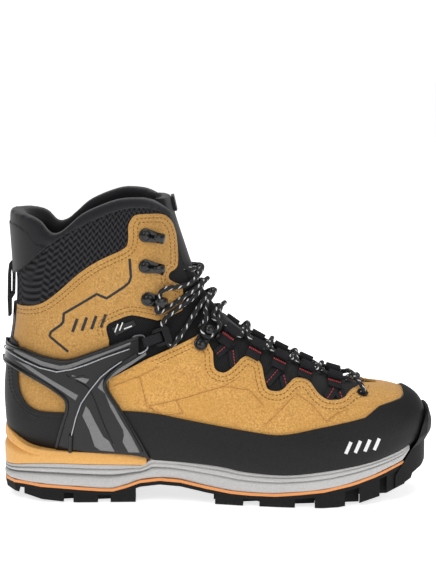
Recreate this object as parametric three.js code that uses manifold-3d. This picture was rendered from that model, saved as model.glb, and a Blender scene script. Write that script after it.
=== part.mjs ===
// A lace-up mountaineering boot (right foot), built as the separate pieces it is sewn and glued from.
// Millimetres, +Z up, toe towards +X, outer (lateral) side towards -Y.
import * as THREE from "three";
import { mergeVertices } from "three/addons/utils/BufferGeometryUtils.js";
import Module from "manifold-3d";

const wasm = await Module();
wasm.setup();

// ---- Sizes that drive the boot ----
const soleLength = 305; // heel to tip of the toe bumper
const collarHeight = 214; // ground to the highest point of the collar
const forefootWidth = 102; // outsole across the ball of the foot
const suedeThickness = 1.5;
const textileThickness = 1.9;
const liningThickness = 4.5;
const randThickness = 1.5;
const cageThickness = 2;
const inlayThickness = 2;
const laceDiameter = 3.4;
const webbingThickness = 1.3;
const ringWire = 1.6;
const gap = 0.3; // clearance between neighbouring pieces

// ---- Grading: the pattern is drawn for one size and stretched to the sizes above ----
const patternLength = 305;
const patternHeight = 214;
const patternWidth = 102;
const featherLine = 30; // below this height the sole keeps its own thickness
const X = (x) => (x * soleLength) / patternLength;
const Y = (y) => (y * forefootWidth) / patternWidth;
const Z = (z) =>
  z <= featherLine ? z : featherLine + ((z - featherLine) * (collarHeight - featherLine)) / (patternHeight - featherLine);
const at = (x, z) => new THREE.Vector2(X(x), Z(z));

// ---- Layers of the upper, as distances from the outside of the inner shell ----
const liningOut = -textileThickness - 2 * gap;
const liningIn = liningOut - liningThickness;
const midIn = -textileThickness - gap;
const midOut = -gap;
const outerIn = 0;
const outerOut = outerIn + suedeThickness;
const rubberIn = outerOut + gap;
const rubberOut = rubberIn + randThickness;
const cageOut = rubberOut + gap + cageThickness;

// ---- The last: sections from the toe tip over the instep to the top of the shaft ----
// front point x z, back point x z, middle y, width out, width in, fullest place, squareness front and back
const sections = [
  [299, 47, 299, 47, 9, 0, 0, 0.6, 2.3, 2.6],
  [296, 61, 294, 41, 9, 22, 20, 0.6, 2.3, 2.8],
  [288, 69.5, 284, 34.5, 8, 34, 30, 0.62, 2.3, 3.2],
  [274, 75, 269, 28.5, 6, 43, 36, 0.66, 2.3, 3.8],
  [253, 78.5, 249, 22, 3, 50, 41, 0.7, 2.25, 4.2],
  [230, 85, 223, 17, 0, 53, 45, 0.72, 2.1, 4.5],
  [206, 96, 195, 15.5, -1, 52, 46, 0.72, 2, 4.5],
  [184, 108, 163, 18, -1, 47, 44, 0.7, 2, 4.2],
  [166, 120, 127, 23, 0, 42, 41, 0.66, 2, 3.8],
  [153, 132, 86, 26, 0, 40, 39, 0.6, 2, 3.4],
  [144, 144, 42, 27, 0, 39, 38, 0.52, 2, 3.2],
  [138, 155, 10, 41, 0, 38, 37, 0.48, 2.1, 2.8],
  [134, 166, 4, 64, 0, 38, 37, 0.47, 2.1, 2.4],
  [130, 178, 5, 92, 0, 39, 38, 0.47, 2.15, 2.2],
  [126, 190, 10, 121, 0, 41, 40, 0.48, 2.2, 2.1],
  [122, 203, 12, 149, 0, 43, 42, 0.49, 2.2, 2.1],
  [119, 216, 11, 178, 0, 45, 44, 0.5, 2.2, 2.1],
  [116, 230, 9, 207, 0, 46, 45, 0.5, 2.2, 2.1],
].map(([fx, fz, bx, bz, yc, wl, wm, ...form]) => [X(fx), Z(fz), X(bx), Z(bz), Y(yc), Y(wl), Y(wm), ...form]);
const topStation = sections.length - 1;

function sectionAt(u) {
  const k = Math.min(Math.max(Math.floor(u), 0), topStation - 1);
  const t = u - k;
  const [p1, p2] = [sections[k], sections[k + 1]];
  const [fx, fz, bx, bz, yc, wl, wm, ...form] = p2;
  const before = k > 0 ? sections[k - 1] : [bx, bz, fx, fz, yc, -wl, -wm, ...form];
  const after = k + 2 <= topStation ? sections[k + 2] : p2.map((v, i) => 2 * v - p1[i]);
  return p1.map(
    (v, i) =>
      0.5 *
      (2 * v +
        (p2[i] - before[i]) * t +
        (2 * before[i] - 5 * v + 4 * p2[i] - after[i]) * t * t +
        (3 * v - before[i] - 3 * p2[i] + after[i]) * t * t * t),
  );
}

// A point of the last: u runs from toe to shaft, phi from the front middle round the outer side to the back.
function lastPoint(u, phi) {
  const [fx, fz, bx, bz, yc, wl, wm, full, n1, n2] = sectionAt(u);
  const c = Math.cos(phi);
  const s = Math.sin(phi);
  const n = c >= 0 ? n1 : n2;
  const deep = Math.abs(c) ** (2 / n);
  const a = c >= 0 ? full - full * deep : full + (1 - full) * deep;
  const w = Math.abs(s) ** (2 / n);
  return new THREE.Vector3(fx + (bx - fx) * a, yc + (s >= 0 ? -wl * w : wm * w), fz + (bz - fz) * a);
}

function lastNormal(u, phi) {
  const e = 0.002;
  const along = lastPoint(u + e, phi).sub(lastPoint(u - e, phi));
  const around = lastPoint(u, phi + e).sub(lastPoint(u, phi - e));
  return along.cross(around).normalize();
}

const offsetPoint = (u, phi, d) => lastPoint(u, phi).addScaledVector(lastNormal(u, phi), d);

// ---- Solids ----
function solidOf(geometry) {
  const bare = new THREE.BufferGeometry().setAttribute("position", geometry.getAttribute("position"));
  bare.setIndex(geometry.index);
  const merged = mergeVertices(bare, 1e-3);
  return new wasm.Manifold(
    new wasm.Mesh({
      numProp: 3,
      vertProperties: merged.attributes.position.array,
      triVerts: new Uint32Array(merged.index.array),
    }),
  );
}

// A closed solid from rings of points, each ring with the same count, capped at both ends.
function ringSolid(rings) {
  const count = rings[0].length;
  const middle = (ring) => ring.reduce((sum, p) => sum.add(p), new THREE.Vector3()).divideScalar(count);
  const points = [...rings.flat(), middle(rings[0]), middle(rings.at(-1))];
  const triangles = [];
  for (let i = 0; i + 1 < rings.length; i++) {
    for (let j = 0; j < count; j++) {
      const a = i * count + j;
      const b = i * count + ((j + 1) % count);
      triangles.push(a, a + count, b, b, a + count, b + count);
    }
  }
  const last = (rings.length - 1) * count;
  for (let j = 0; j < count; j++) {
    const next = (j + 1) % count;
    triangles.push(points.length - 2, j, next);
    triangles.push(points.length - 1, last + next, last + j);
  }
  const geometry = new THREE.BufferGeometry().setFromPoints(points);
  geometry.setIndex(triangles);
  const solid = solidOf(geometry);
  if (solid.volume() > 0) return solid;
  geometry.setIndex(triangles.reverse());
  return solidOf(geometry);
}

const ringStations = [0.03, 0.35, 1, 2, 3, 4, 5, 6, 7, 8, 9, 10, 11, 12, 13, 14, 15, 16, 17];
const aroundCount = 14;
const shells = new Map();
function body(d) {
  if (!shells.has(d)) {
    const ring = (u) =>
      Array.from({ length: aroundCount }, (_, j) => offsetPoint(u, (2 * Math.PI * j) / aroundCount, d));
    shells.set(d, ringSolid(ringStations.map(ring)));
  }
  return shells.get(d);
}
const layer = (dIn, dOut) => body(dOut).subtract(body(dIn));

const outlineDetail = 1; // points made per given point of a curve
// A smooth run of outline points through the given ones.
const curve = (...points) =>
  new THREE.SplineCurve(points.map(([x, z]) => at(x, z))).getPoints((points.length - 1) * outlineDetail);
const corners = (...points) => points.map(([x, z]) => at(x, z));

function grown(outline, by) {
  if (by === 0) return outline;
  const sign = Math.sign(THREE.ShapeUtils.area(outline));
  const edgeNormal = (a, b) => new THREE.Vector2(b.y - a.y, a.x - b.x).normalize().multiplyScalar(sign);
  return outline.map((p, i) => {
    const n0 = edgeNormal(outline.at(i - 1), p);
    const n1 = edgeNormal(p, outline[(i + 1) % outline.length]);
    const n = n0.clone().add(n1).normalize();
    return p.clone().addScaledVector(n, by / Math.max(n.dot(n1), 0.5));
  });
}

const reach = 90;
// A side-view outline pushed through the boot; side -1 is the outer half, +1 the inner half, 0 both.
function through(line, side = 0, by = 0) {
  const outline = line.filter((p, i) => p.distanceTo(line.at(i - 1)) > 0.05);
  const from = side > 0 ? gap / 2 : -reach;
  const to = side < 0 ? -gap / 2 : reach;
  const geometry = new THREE.ExtrudeGeometry(new THREE.Shape(grown(outline, by)), {
    depth: to - from,
    bevelEnabled: false,
  });
  geometry.rotateX(Math.PI / 2).translate(0, to, 0);
  return solidOf(geometry);
}

function upright(outline, from, to) {
  const geometry = new THREE.ExtrudeGeometry(new THREE.Shape(outline), { depth: to - from, bevelEnabled: false });
  geometry.translate(0, 0, from);
  return solidOf(geometry);
}

// ---- Side-view lines of the boot ----
const collarTop = curve([-12, 204], [8, 203], [21, 201], [30, 197.5], [37, 190], [44, 190.5], [51, 196], [62, 205],
  [82, 213], [96, 214], [106, 212], [116, 206], [134, 191]);
const collarSeam = curve([-12, 150], [3, 153.5], [14.5, 162.5], [25, 173], [35, 181], [44, 187.5], [61, 197.5],
  [83, 206.5], [96, 208], [108, 206], [119, 198.5], [134, 182]);
const ankleTop = curve([-12, 136.5], [5, 136], [20, 137.5], [30, 140.5], [40.5, 148], [56.5, 162.5], [70, 171.5],
  [85.5, 178.5]);
const ankleFront = [
  ...curve([85.5, 178.5], [90, 182], [91, 188.5], [91, 195.5], [93.5, 201], [98, 203.3], [113, 202.3], [119, 198],
    [122.7, 191], [124.2, 180.5], [124.7, 169], [123.5, 164], [119, 161], [118.4, 157], [122, 154]).slice(1),
  ...corners([127.6, 151.5], [128.8, 138.5]),
  ...curve([127.4, 134.6], [113, 129], [106, 130], [93, 133], [84, 130.5], [75.4, 125.7], [77, 115.6]),
];
const vampTop = [
  ...corners([80, 90], [102.5, 102], [136.7, 116.4], [142, 119.7]),
  ...curve([149, 105.6], [150, 95.4], [154.6, 92.2], [159, 92.8], [164, 96.5], [170, 101.5], [176, 101.6], [182.5, 97],
    [185, 87], [187, 81.5], [192, 79.8], [197, 80.5], [202, 84.5], [207, 87], [215.5, 85.2], [222, 77.7], [228, 73.6],
    [235.5, 72.7], [241, 74], [246, 77], [252, 78]),
  ...corners([258, 84], [262, 95]),
];
const randTop = [
  ...curve([78, 66.5], [87, 66.2], [108, 64.5], [140, 58.5], [180, 52.7], [198, 51.8], [223, 56.2], [245, 59.7]),
  ...curve([255, 61.5], [263, 66.5], [267, 68.2], [281, 70.5]),
  ...corners([284, 72], [285, 90]),
];
const wedgeTop = curve([-12, 51], [-1, 50.8], [3.6, 48], [10, 43.4], [19, 38.8], [38, 36.6], [88, 34.3], [106, 31]);
const heelSplit = curve([-12, 22.5], [0, 23], [29, 27.4], [69, 26.8], [100, 26]);
const ballTop = curve([106, 29.8], [130, 28.8], [154, 27.2], [171, 24.3], [198, 23.1], [223, 25.4], [255, 29.4],
  [277, 33.2], [292, 39]);
const inlayTop = curve([-12, 12.5], [0, 13.5], [17, 13.4], [52, 11.4], [70, 10], [79, 9.8], [88, 12.2], [98, 15.7],
  [112, 17.2], [126, 16.4], [143, 12.9], [161, 10.2], [175, 9.5], [192, 9.5], [209, 11.1], [227, 13.3], [244, 16.4],
  [262, 21], [283, 28]);
const soleFront = corners([283, 28], [293, 41]);
const groundLine = curve([-12, 8.5], [0, 6.5], [14, 4.7], [30, 1.6], [48, 0]).concat(
  curve([236, 0], [250, 1.8], [265, 5], [284, 11], [298, 19], [312, 33]),
);
const lower = (line, by) => line.map((p) => new THREE.Vector2(p.x, p.y - by));
const backwards = (line) => [...line].reverse();
const box = (x0, z0, x1, z1) => corners([x0, z0], [x1, z0], [x1, z1], [x0, z1]);

// ---- Sole ----
const planRight = [[0, 0], [2, -14], [9, -26], [28, -36.5], [55, -39], [80, -38], [110, -37], [140, -41], [170, -48],
  [200, -53], [225, -55], [250, -49], [270, -39], [286, -27], [297, -12], [301, 8]];
const planLeft = [[301, 8], [298, 25], [287, 38], [270, 43.5], [250, 46], [225, 47], [200, 45.5], [170, 38], [140, 31],
  [110, 30], [80, 33.5], [55, 36.5], [28, 35.5], [9, 25], [2, 14], [0, 0]];
const planPoints = (points) =>
  new THREE.SplineCurve(points.map(([x, y]) => new THREE.Vector2(X(x), Y(y)))).getPoints((points.length - 1) * outlineDetail);
const planOutline = [...planPoints(planRight), ...planPoints(planLeft).slice(1, -1)];
const planAll = upright(planOutline, -5, 70);
const planInner = upright(grown(planOutline, -0.6), -5, 70);

const inlayRegion = [...inlayTop, ...backwards(lower(inlayTop, inlayThickness))];

const midRegion = [
  ...lower(inlayTop, -gap).slice(0, -1),
  ...soleFront,
  ...backwards(ballTop).slice(1),
  ...corners([101, 26]),
  ...backwards(heelSplit).slice(1),
];
const sole_inlay = planAll.intersect(through(inlayRegion)).subtract(through(midRegion, 0, gap));
const shankRegion = box(52, 8, 172, 40);
const shankPlan = upright(
  [new THREE.Vector2(X(52), -Y(10)), new THREE.Vector2(X(172), -Y(10)), new THREE.Vector2(X(172), Y(8)),
    new THREE.Vector2(X(52), Y(10))], 0, 40);
const shankThickness = 1.5;
const shank = layer(rubberIn, rubberIn + shankThickness).intersect(through(shankRegion)).intersect(shankPlan);
const shankPocket = body(rubberIn + shankThickness + gap)
  .intersect(through(shankRegion, 0, gap))
  .intersect(upright([new THREE.Vector2(X(52) - gap, -Y(10) - gap), new THREE.Vector2(X(172) + gap, -Y(10) - gap),
    new THREE.Vector2(X(172) + gap, Y(8) + gap), new THREE.Vector2(X(52) - gap, Y(10) + gap)], 0, 40));
const midsole = planInner.intersect(through(midRegion)).subtract(body(rubberIn)).subtract(shankPocket);

const wedgeRegion = [...wedgeTop, ...corners([104.5, 29.5], [101, 26.4]), ...backwards(lower(heelSplit, -gap)).slice(1)];
const heel_wedge = planAll.intersect(through(wedgeRegion)).subtract(body(rubberIn)).subtract(shankPocket);

// Tread blocks: rows of [x from, x to] along each edge, with matching blocks down the middle.
const webTop = lower(inlayTop, inlayThickness + gap);
const webThickness = 2.4;
const treadRows = [
  [1, 13], [17.5, 45], [52.5, 69], [78.5, 95.5], [148.5, 169], [179.5, 205], [218, 240], [249, 264.5], [268.5, 283],
];
const planRightAt = (x) => {
  const k = planRight.findIndex(([px], i) => i > 0 && px >= x);
  const [[x0, y0], [x1, y1]] = [planRight[k - 1], planRight[k]];
  return y0 + ((y1 - y0) * (x - x0)) / (x1 - x0);
};
const planLeftAt = (x) => {
  const k = planLeft.findIndex(([px]) => px <= x);
  const [[x0, y0], [x1, y1]] = [planLeft[k - 1], planLeft[k]];
  return y0 + ((y1 - y0) * (x - x0)) / (x1 - x0);
};
const plan = (...points) => points.map(([x, y]) => new THREE.Vector2(X(x), Y(y)));
const blocks = treadRows.flatMap(([x0, x1], i) => {
  const [r0, r1, l0, l1] = [planRightAt(x0 + 0.5), planRightAt(x1), planLeftAt(x0 + 0.5), planLeftAt(x1)];
  const cleat = 13;
  const lean = i < 4 ? -2 : 3;
  const edge = [
    plan([x0, -70], [x1, -70], [x1 + lean * 0.5, r1 + cleat], [x0 + lean, r0 + cleat + 2]),
    plan([x0, 70], [x0 + lean, l0 - cleat - 2], [x1 + lean * 0.5, l1 - cleat], [x1, 70]),
  ];
  const width = (l1 - r1) / 2 - cleat - 5;
  const mid = (r0 + l0) / 2;
  const tip = (x0 + x1) / 2 + lean * 2;
  if (width < 5 || i === 0) return edge;
  return [...edge, plan([x0 + 1, mid - width], [x0 + 1, mid + width], [tip + 5, mid + 3], [tip + 5, mid - 3])];
});
const treadRegion = [...webTop.slice(0, -1), ...corners([283, 26], [296, 36], [312, 45]), ...backwards(groundLine)];
const treadRoom = planInner.intersect(through(treadRegion));
const web = through([...webTop, ...backwards(lower(webTop, webThickness))]).intersect(planAll);
const bumperRegion = corners([283.5, 27.4], [293.4, 40.4], [297, 51], [301, 60], [330, 60], [330, 4], [277, 4], [277, 18]);
const bumper = body(rubberOut + gap + 3.2).intersect(through(bumperRegion)).subtract(body(rubberOut + gap))
  .subtract(through(midRegion, 0, gap)).subtract(through(inlayRegion, 0, gap));
const outsole = wasm.Manifold.union([
  web,
  bumper,
  ...blocks.map((b) => upright(b, -5, 60).intersect(treadRoom)),
]).subtract(body(rubberOut + gap)).subtract(through(midRegion, 0, gap)).subtract(through(inlayRegion, 0, gap));

// ---- Throat of the boot: the slot the tongue fills ----
const throatStart = 3.45;
const throatWidths = [[3.4, 3], [3.8, 7], [5, 10], [7, 12.5], [9, 14], [11, 15], [13, 17], [15, 19], [17.2, 22]];
function throatHalf(u) {
  const k = throatWidths.findIndex(([v]) => v >= u);
  const [[u0, w0], [u1, w1]] = [throatWidths[Math.max(k - 1, 0)], throatWidths[k]];
  return Y(u1 > u0 ? w0 + ((w1 - w0) * (u - u0)) / (u1 - u0) : w0);
}
function slot(by, deep, high, from, to) {
  const stations = [from, ...ringStations.filter((u) => u > from + 0.2 && u < to - 0.2), to];
  return ringSolid(
    stations.map((u) => {
      const [fx, fz, , , yc] = sectionAt(u);
      const e = 0.01;
      const ahead = sectionAt(Math.min(u + e, topStation));
      const behind = sectionAt(u - e);
      const out = new THREE.Vector3(ahead[1] - behind[1], 0, behind[0] - ahead[0]).normalize();
      const w = throatHalf(u) + by;
      return [[-w, -deep], [w, -deep], [w, high], [-w, high]].map(([y, d]) =>
        new THREE.Vector3(fx, yc + y, fz).addScaledVector(out, d));
    }),
  );
}
const throat = slot(0, 32, 26, throatStart, topStation);

// ---- Upper ----
const high = 260;
const below = (line, floor = -10) => [...line, ...corners([160, 185], [400, 185], [400, floor], [-12, floor])];
const above = (line) => [...backwards(line), ...corners([-12, high], [134, high])];
const belowCollar = through(below(collarTop));
const rollInside = 11;
const padOut = outerOut + 0.6;
const insideRoll = through([...collarTop, ...backwards(lower(collarTop, rollInside))]);
const outsideRoll = through([...collarTop, ...backwards(collarSeam)]);
const collar_all = wasm.Manifold.union([
  layer(liningIn, liningOut).intersect(insideRoll),
  layer(midIn, padOut).intersect(outsideRoll),
  layer(liningIn, padOut).intersect(insideRoll).intersect(outsideRoll),
]).subtract(throat);
const padRegion = corners([-12, 150], [3, 153.5], [14.5, 162.6], [34.5, 181], [28.3, 183.5], [21, 191.2], [13, 194.6],
  [0, 196], [-12, 196.5]);
const heel_pad = layer(midIn, padOut).intersect(through(padRegion)).intersect(outsideRoll);
const collar_roll = collar_all.subtract(layer(midIn - gap, 12).intersect(through(padRegion, 0, gap)));
const lining_bootie = layer(liningIn, liningOut)
  .intersect(through(below(lower(collarTop, rollInside + gap))))
  .subtract(throat);

const boardRegion = corners([8, 4], [8, 36], [50, 31], [110, 28], [160, 23], [200, 20.5], [230, 22.5], [250, 27],
  [270, 34], [286, 41], [292, 4]);
const insole_board = layer(midIn, midOut).intersect(through(boardRegion));
const heelRegion = [...curve([-12, 104], [20, 104], [60, 92], [84, 70]), ...corners([92, 0], [-12, 0])];
const toeRegion = [...corners([330, 0], [262, 0]), ...curve([258, 40], [262, 66], [274, 90])];
toeRegion.push(...corners([330, 90]));
const midLayer = layer(midIn, midOut).subtract(through(boardRegion, 0, gap));
const heel_stiffener = midLayer.intersect(through(heelRegion));
const toe_puff = midLayer.intersect(through(toeRegion)).subtract(throat);
const textile = midLayer
  .intersect(through(below(lower(collarSeam, gap))))
  .subtract(through(heelRegion, 0, gap))
  .subtract(through(toeRegion, 0, gap))
  .subtract(throat);

const ankleRegion = [...ankleTop, ...ankleFront, ...corners([76, 92], [78, 60], [80, -10], [-12, -10])];
const vampRegion = [...corners([80, -10], [78, 60], [76, 88]), ...vampTop, ...corners([330, 95], [330, -10])];
const outerLayer = layer(outerIn, outerOut).subtract(throat);
const vamp_suede = outerLayer.intersect(through(vampRegion)).subtract(through(ankleRegion, 0, gap));
const meshRegion = [...backwards(lower(collarSeam, gap)), ...ankleTop, ...corners([90, 175], [134, 175])];
const largest = (solid) => solid.decompose().sort((a, b) => b.volume() - a.volume())[0];
const collar_mesh = largest(outerLayer.intersect(through(meshRegion)).subtract(through(ankleRegion, 0, gap)));

const wallFoot = [...lower(wedgeTop, -gap), ...lower(ballTop, -gap)];
const aboveSole = through([...wallFoot, ...corners([298, 48], [310, 50], [340, 60], [340, high], [-12, high])]);
const randRegion = [...randTop, ...corners([330, 90], [330, 10], [92, 10], [80, 50])];
const toe_rand = layer(rubberIn, rubberOut)
  .intersect(through(randRegion))
  .intersect(through([...wallFoot, ...corners([294, 32], [340, 32], [340, high], [-12, high])]))
  .subtract(through(midRegion, 0, gap))
  .subtract(through(wedgeRegion, 0, gap));
const heelCapTop = curve([-12, 111], [11.7, 111], [12.1, 92.5], [13.1, 80], [16.2, 72.4], [21.4, 67.2], [29.4, 64.6],
  [46, 64.2], [52, 64]);
const heelCapRegion = [...heelCapTop, ...corners([60, 30], [-12, 30])];
const heel_cap = layer(rubberIn, rubberOut).intersect(through(heelCapRegion)).intersect(aboveSole);
const backStrap = upright(plan([-12, -8], [30, -8], [30, 8], [-12, 8]), 0, high);
const back_strap = layer(rubberIn, rubberOut)
  .intersect(through(corners([-12, 111.4], [40, 111.4], [40, 137], [-12, 137])))
  .intersect(backStrap);

// ---- Ankle cage, its cables, rings, straps and lace sliders ----
const cageRegion = [
  ...curve([-12, 108.5], [10, 108.5], [18, 108], [30, 104.6], [43, 102.5], [50, 102.8], [60, 106], [75, 111.4], [89, 116.6],
    [97.5, 119]),
  ...corners([97.5, 107.3]),
  ...curve([97.5, 105], [87, 98], [78.2, 90.3], [75.6, 85], [78, 79]),
  ...corners([86.7, 65.4], [98.3, 45.2], [108, 25], [37, 25]),
  ...curve([38, 33], [42.2, 52], [44.3, 59.5], [46.5, 66.7], [46, 73], [41.7, 77.7], [29.7, 85], [12, 93.2], [-12, 95]),
];
const sides = [
  { side: -1, name: "lateral" },
  { side: 1, name: "medial" },
];

// The place on the last that is seen at x, z from one side, with a frame: out of the boot, up along it, and to the front.
function placeAt(x, z, side) {
  const target = at(x, z);
  const phiOf = (p) => (side < 0 ? p : 2 * Math.PI - p);
  let best = [Infinity, 0, 0];
  const near = (u, p) => {
    const q = lastPoint(u, phiOf(p));
    return (q.x - target.x) ** 2 + (q.z - target.y) ** 2;
  };
  for (let u = 0.25; u <= 17; u += 0.25) {
    for (let p = 0.05; p < 3.1; p += 0.1) {
      const miss = near(u, p);
      if (miss < best[0]) best = [miss, u, p];
    }
  }
  for (let step = 0.12; step > 1e-4; step *= 0.7) {
    for (const [du, dp] of [[step, 0], [-step, 0], [0, step * 0.4], [0, -step * 0.4]]) {
      const miss = near(best[1] + du, best[2] + dp);
      if (miss < best[0]) best = [miss, best[1] + du, best[2] + dp];
    }
  }
  return frameAt(best[1], phiOf(best[2]));
}
function frameAt(u, phi, turn) {
  const out = lastNormal(u, phi);
  const origin = lastPoint(u, phi);
  const front = turn ?? new THREE.Vector3(1, 0, 0);
  const up = new THREE.Vector3().crossVectors(out, front).normalize();
  if (up.z < 0) up.negate();
  const ahead = new THREE.Vector3().crossVectors(up, out).normalize();
  if (ahead.dot(front) < 0) ahead.negate();
  return { origin, out, up, ahead };
}
// A point given in a frame: a along, u upwards, n out of the surface.
const inFrame = (f, a, u, n) =>
  f.origin.clone().addScaledVector(f.ahead, a).addScaledVector(f.up, u).addScaledVector(f.out, n);
const turned = (f, angle) => {
  const c = Math.cos(angle);
  const s = Math.sin(angle);
  const ahead = f.ahead.clone().multiplyScalar(c).addScaledVector(f.up, s);
  const up = f.up.clone().multiplyScalar(c).addScaledVector(f.ahead, -s);
  return { origin: f.origin, out: f.out, up, ahead };
};

// A flat shape in a frame's ahead/up plane, standing from n0 to n1 out of the surface.
function standing(f, shape, n0, n1) {
  const geometry = new THREE.ExtrudeGeometry(shape, { depth: n1 - n0, bevelEnabled: false, curveSegments: 4 });
  const basis = new THREE.Matrix4().makeBasis(f.ahead, f.up, f.out);
  basis.setPosition(inFrame(f, 0, 0, n0));
  geometry.applyMatrix4(basis);
  return closed(geometry);
}
// A profile in a frame's ahead/out plane, running from u0 to u1 along it.
function running(f, shape, u0, u1) {
  const geometry = new THREE.ExtrudeGeometry(shape, { depth: u1 - u0, bevelEnabled: false, curveSegments: 4 });
  const basis = new THREE.Matrix4().makeBasis(f.ahead, f.out, f.up);
  basis.setPosition(inFrame(f, 0, u0, 0));
  geometry.applyMatrix4(basis);
  return closed(geometry);
}
function closed(geometry) {
  const solid = solidOf(geometry);
  if (solid.volume() > 0) return solid;
  const index = mergeVertices(geometry.deleteAttribute("normal").deleteAttribute("uv"), 1e-3);
  index.setIndex([...index.index.array].reverse());
  return solidOf(index);
}
const dot = (radius, count = 8) => {
  const points = Array.from({ length: count }, (_, i) => {
    const a = (2 * Math.PI * (i + 0.5)) / count;
    return new THREE.Vector2(radius * Math.cos(a), radius * Math.sin(a));
  });
  return new THREE.Shape(points);
};
// A smooth path that is divided evenly between its points, so tight turns keep their shape.
class KnotPath extends THREE.CatmullRomCurve3 {
  getPointAt(t, target) {
    return this.getPoint(t, target);
  }
  getTangentAt(t, target) {
    return this.getTangent(t, target);
  }
}
function tube(points, radius, perKnot, isClosed = false, count = 6) {
  const extrudePath = new KnotPath(points, isClosed, "centripetal");
  const steps = (isClosed ? points.length : points.length - 1) * perKnot;
  return closed(new THREE.ExtrudeGeometry(dot(radius, count), { steps, extrudePath, bevelEnabled: false }));
}
function rounded(x0, y0, x1, y1, r) {
  const k = r * 0.29;
  const rim = [[x0 + r, y0], [x1 - r, y0], [x1 - k, y0 + k], [x1, y0 + r], [x1, y1 - r], [x1 - k, y1 - k], [x1 - r, y1],
    [x0 + r, y1], [x0 + k, y1 - k], [x0, y1 - r], [x0, y0 + r], [x0 + k, y0 + k]];
  return new THREE.Shape(rim.map(([x, y]) => new THREE.Vector2(x, y)));
}

const cageTilt = 0.33;
const ringDepth = cageOut - 1.7;
const ringHalf = 6; // half the ring's height
const ringLong = 8; // its length
const pieces = {};
const sliderPlaces = {};
let cage = layer(rubberIn, cageOut)
  .subtract(layer(rubberIn - gap, rubberOut + gap).intersect(through(randRegion, 0, gap)))
  .subtract(layer(rubberIn - gap, rubberOut + gap).intersect(through(heelCapRegion, 0, gap)))
  .subtract(layer(rubberIn - gap, rubberOut + gap).intersect(backStrap.translate([0, 0, 0]))
    .intersect(through(box(-12, 111, 40, 138))))
  .intersect(through(cageRegion))
  .intersect(aboveSole);

for (const { side, name } of sides) {
  const place = turned(placeAt(99.5, 113.4, side), cageTilt);
  const wire = ringWire / 2;
  const ringPath = [
    [-4.5, -ringHalf], [-4.5, 0], [-4.5, ringHalf], [-1, ringHalf], [ringLong - 5.5, ringHalf * 0.75],
    [ringLong - 4.5, 0], [ringLong - 5.5, -ringHalf * 0.75], [-1, -ringHalf],
  ].map(([a, u]) => inFrame(place, a, u, ringDepth));
  pieces["d_ring_" + name] = tube(ringPath, wire, 2, true);
  cage = cage
    .subtract(tube(ringPath, wire + 0.45, 2, true))
    .subtract(standing(place, rounded(-5.6, ringHalf - 1.6, 6, ringHalf + 5, 0.3), rubberIn - 2, cageOut + 5))
    .subtract(standing(place, rounded(-5.6, -ringHalf - 5, 6, 1.6 - ringHalf, 0.3), rubberIn - 2, cageOut + 5));

  // The strap folds round the ring and round the slider's bar.
  const eye = webbingThickness + wire + 3 * gap;
  const sliderBar = 12;
  const strap = new THREE.Shape();
  const ringBar = ringLong - 4.5;
  strap.absarc(ringBar, ringDepth, eye, Math.PI / 2, 1.5 * Math.PI, false);
  strap.absarc(sliderBar, ringDepth - 0.6, eye, 1.5 * Math.PI, 2.5 * Math.PI, false);
  for (const [a, n] of [[ringBar, ringDepth], [sliderBar, ringDepth - 0.6]]) {
    const hole = new THREE.Path();
    hole.absarc(a, n, eye - webbingThickness, 0, 2 * Math.PI, true);
    strap.holes.push(hole);
  }
  pieces["strap_" + name] = running(place, strap, -3.2, 3.2);

  // The slider: a plastic loop with a bar for the strap and a tunnel for the lace.
  const low = ringDepth - 3.1;
  const tunnel = laceDiameter / 2 + 0.5;
  const block = rounded(sliderBar - 3.2, -6.2, sliderBar + 8.6, 6.2, 2);
  const window = rounded(sliderBar - 6, -3.9, sliderBar + 2.2 + webbingThickness, 3.9, 0.4);
  const bar = running(place, dot(wire).clone(), -5, 5);
  const barAt = place.ahead.clone().multiplyScalar(sliderBar).addScaledVector(place.out, ringDepth - 0.6);
  pieces["slider_" + name] = standing(place, block, low, low + laceDiameter + 2.4)
    .subtract(standing(place, window, low - 1, low + 9))
    .add(bar.translate(barAt.toArray()))
    .subtract(running(place, dot(tunnel), -9, 9).translate(
      place.ahead.clone().multiplyScalar(sliderBar + 6.1).addScaledVector(place.out, low + 2.9).toArray()));
  sliderPlaces[name] = { place, ahead: sliderBar + 6.1, out: low + 2.9 };
}
pieces.ankle_cage = largest(cage);

// Steel cables that lie on the cage: one round the heel from ring to ring, one down each side to the sole.
const cableRadius = 0.55;
const onCage = (side) => ([x, z]) => inFrame(placeAt(x, z, side), 0, 0, cageOut + 2 * gap + cableRadius);
const heelRun = [[91, 110], [83, 107.5], [73, 104], [62, 99.5], [52, 96], [42, 94], [31, 96.2], [22, 99.5], [14, 102.5],
  [9.5, 103.5]];
const heelMiddle = new THREE.Vector3(X(7) - cageOut - 2 * gap - cableRadius, 0, Z(104));
const heelPath = [...heelRun.map(onCage(-1)), heelMiddle, ...backwards(heelRun.map(onCage(1)))];
pieces.cable_heel = tube(heelPath, cableRadius, 1, false, 5);
const instepRun = [[86, 101.5], [78, 96], [71.5, 90.5], [64, 81], [58, 72], [54.5, 62], [51.5, 50], [50, 41]];
for (const { side, name } of sides) {
  pieces["cable_instep_" + name] = tube(instepRun.map(onCage(side)), cableRadius, 1, false, 5);
}

// ---- Tongue ----
const tongueOut = midOut - 0.5;
const tongueTop = corners([60, 212], [160, 212], [400, 212], [400, -10], [60, -10]);
let tongue = layer(liningIn, tongueOut)
  .intersect(slot(-2 * gap, 32, 26, throatStart + 0.06, topStation))
  .intersect(through(tongueTop));
const across = new THREE.Vector3(0, 1, 0);
const tabPlace = frameAt(15.35, 0, across);
const tongue_tab = standing(tabPlace, rounded(-8, -6, 8, 5, 1.5), tongueOut + gap, tongueOut + gap + 2.2);

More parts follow.
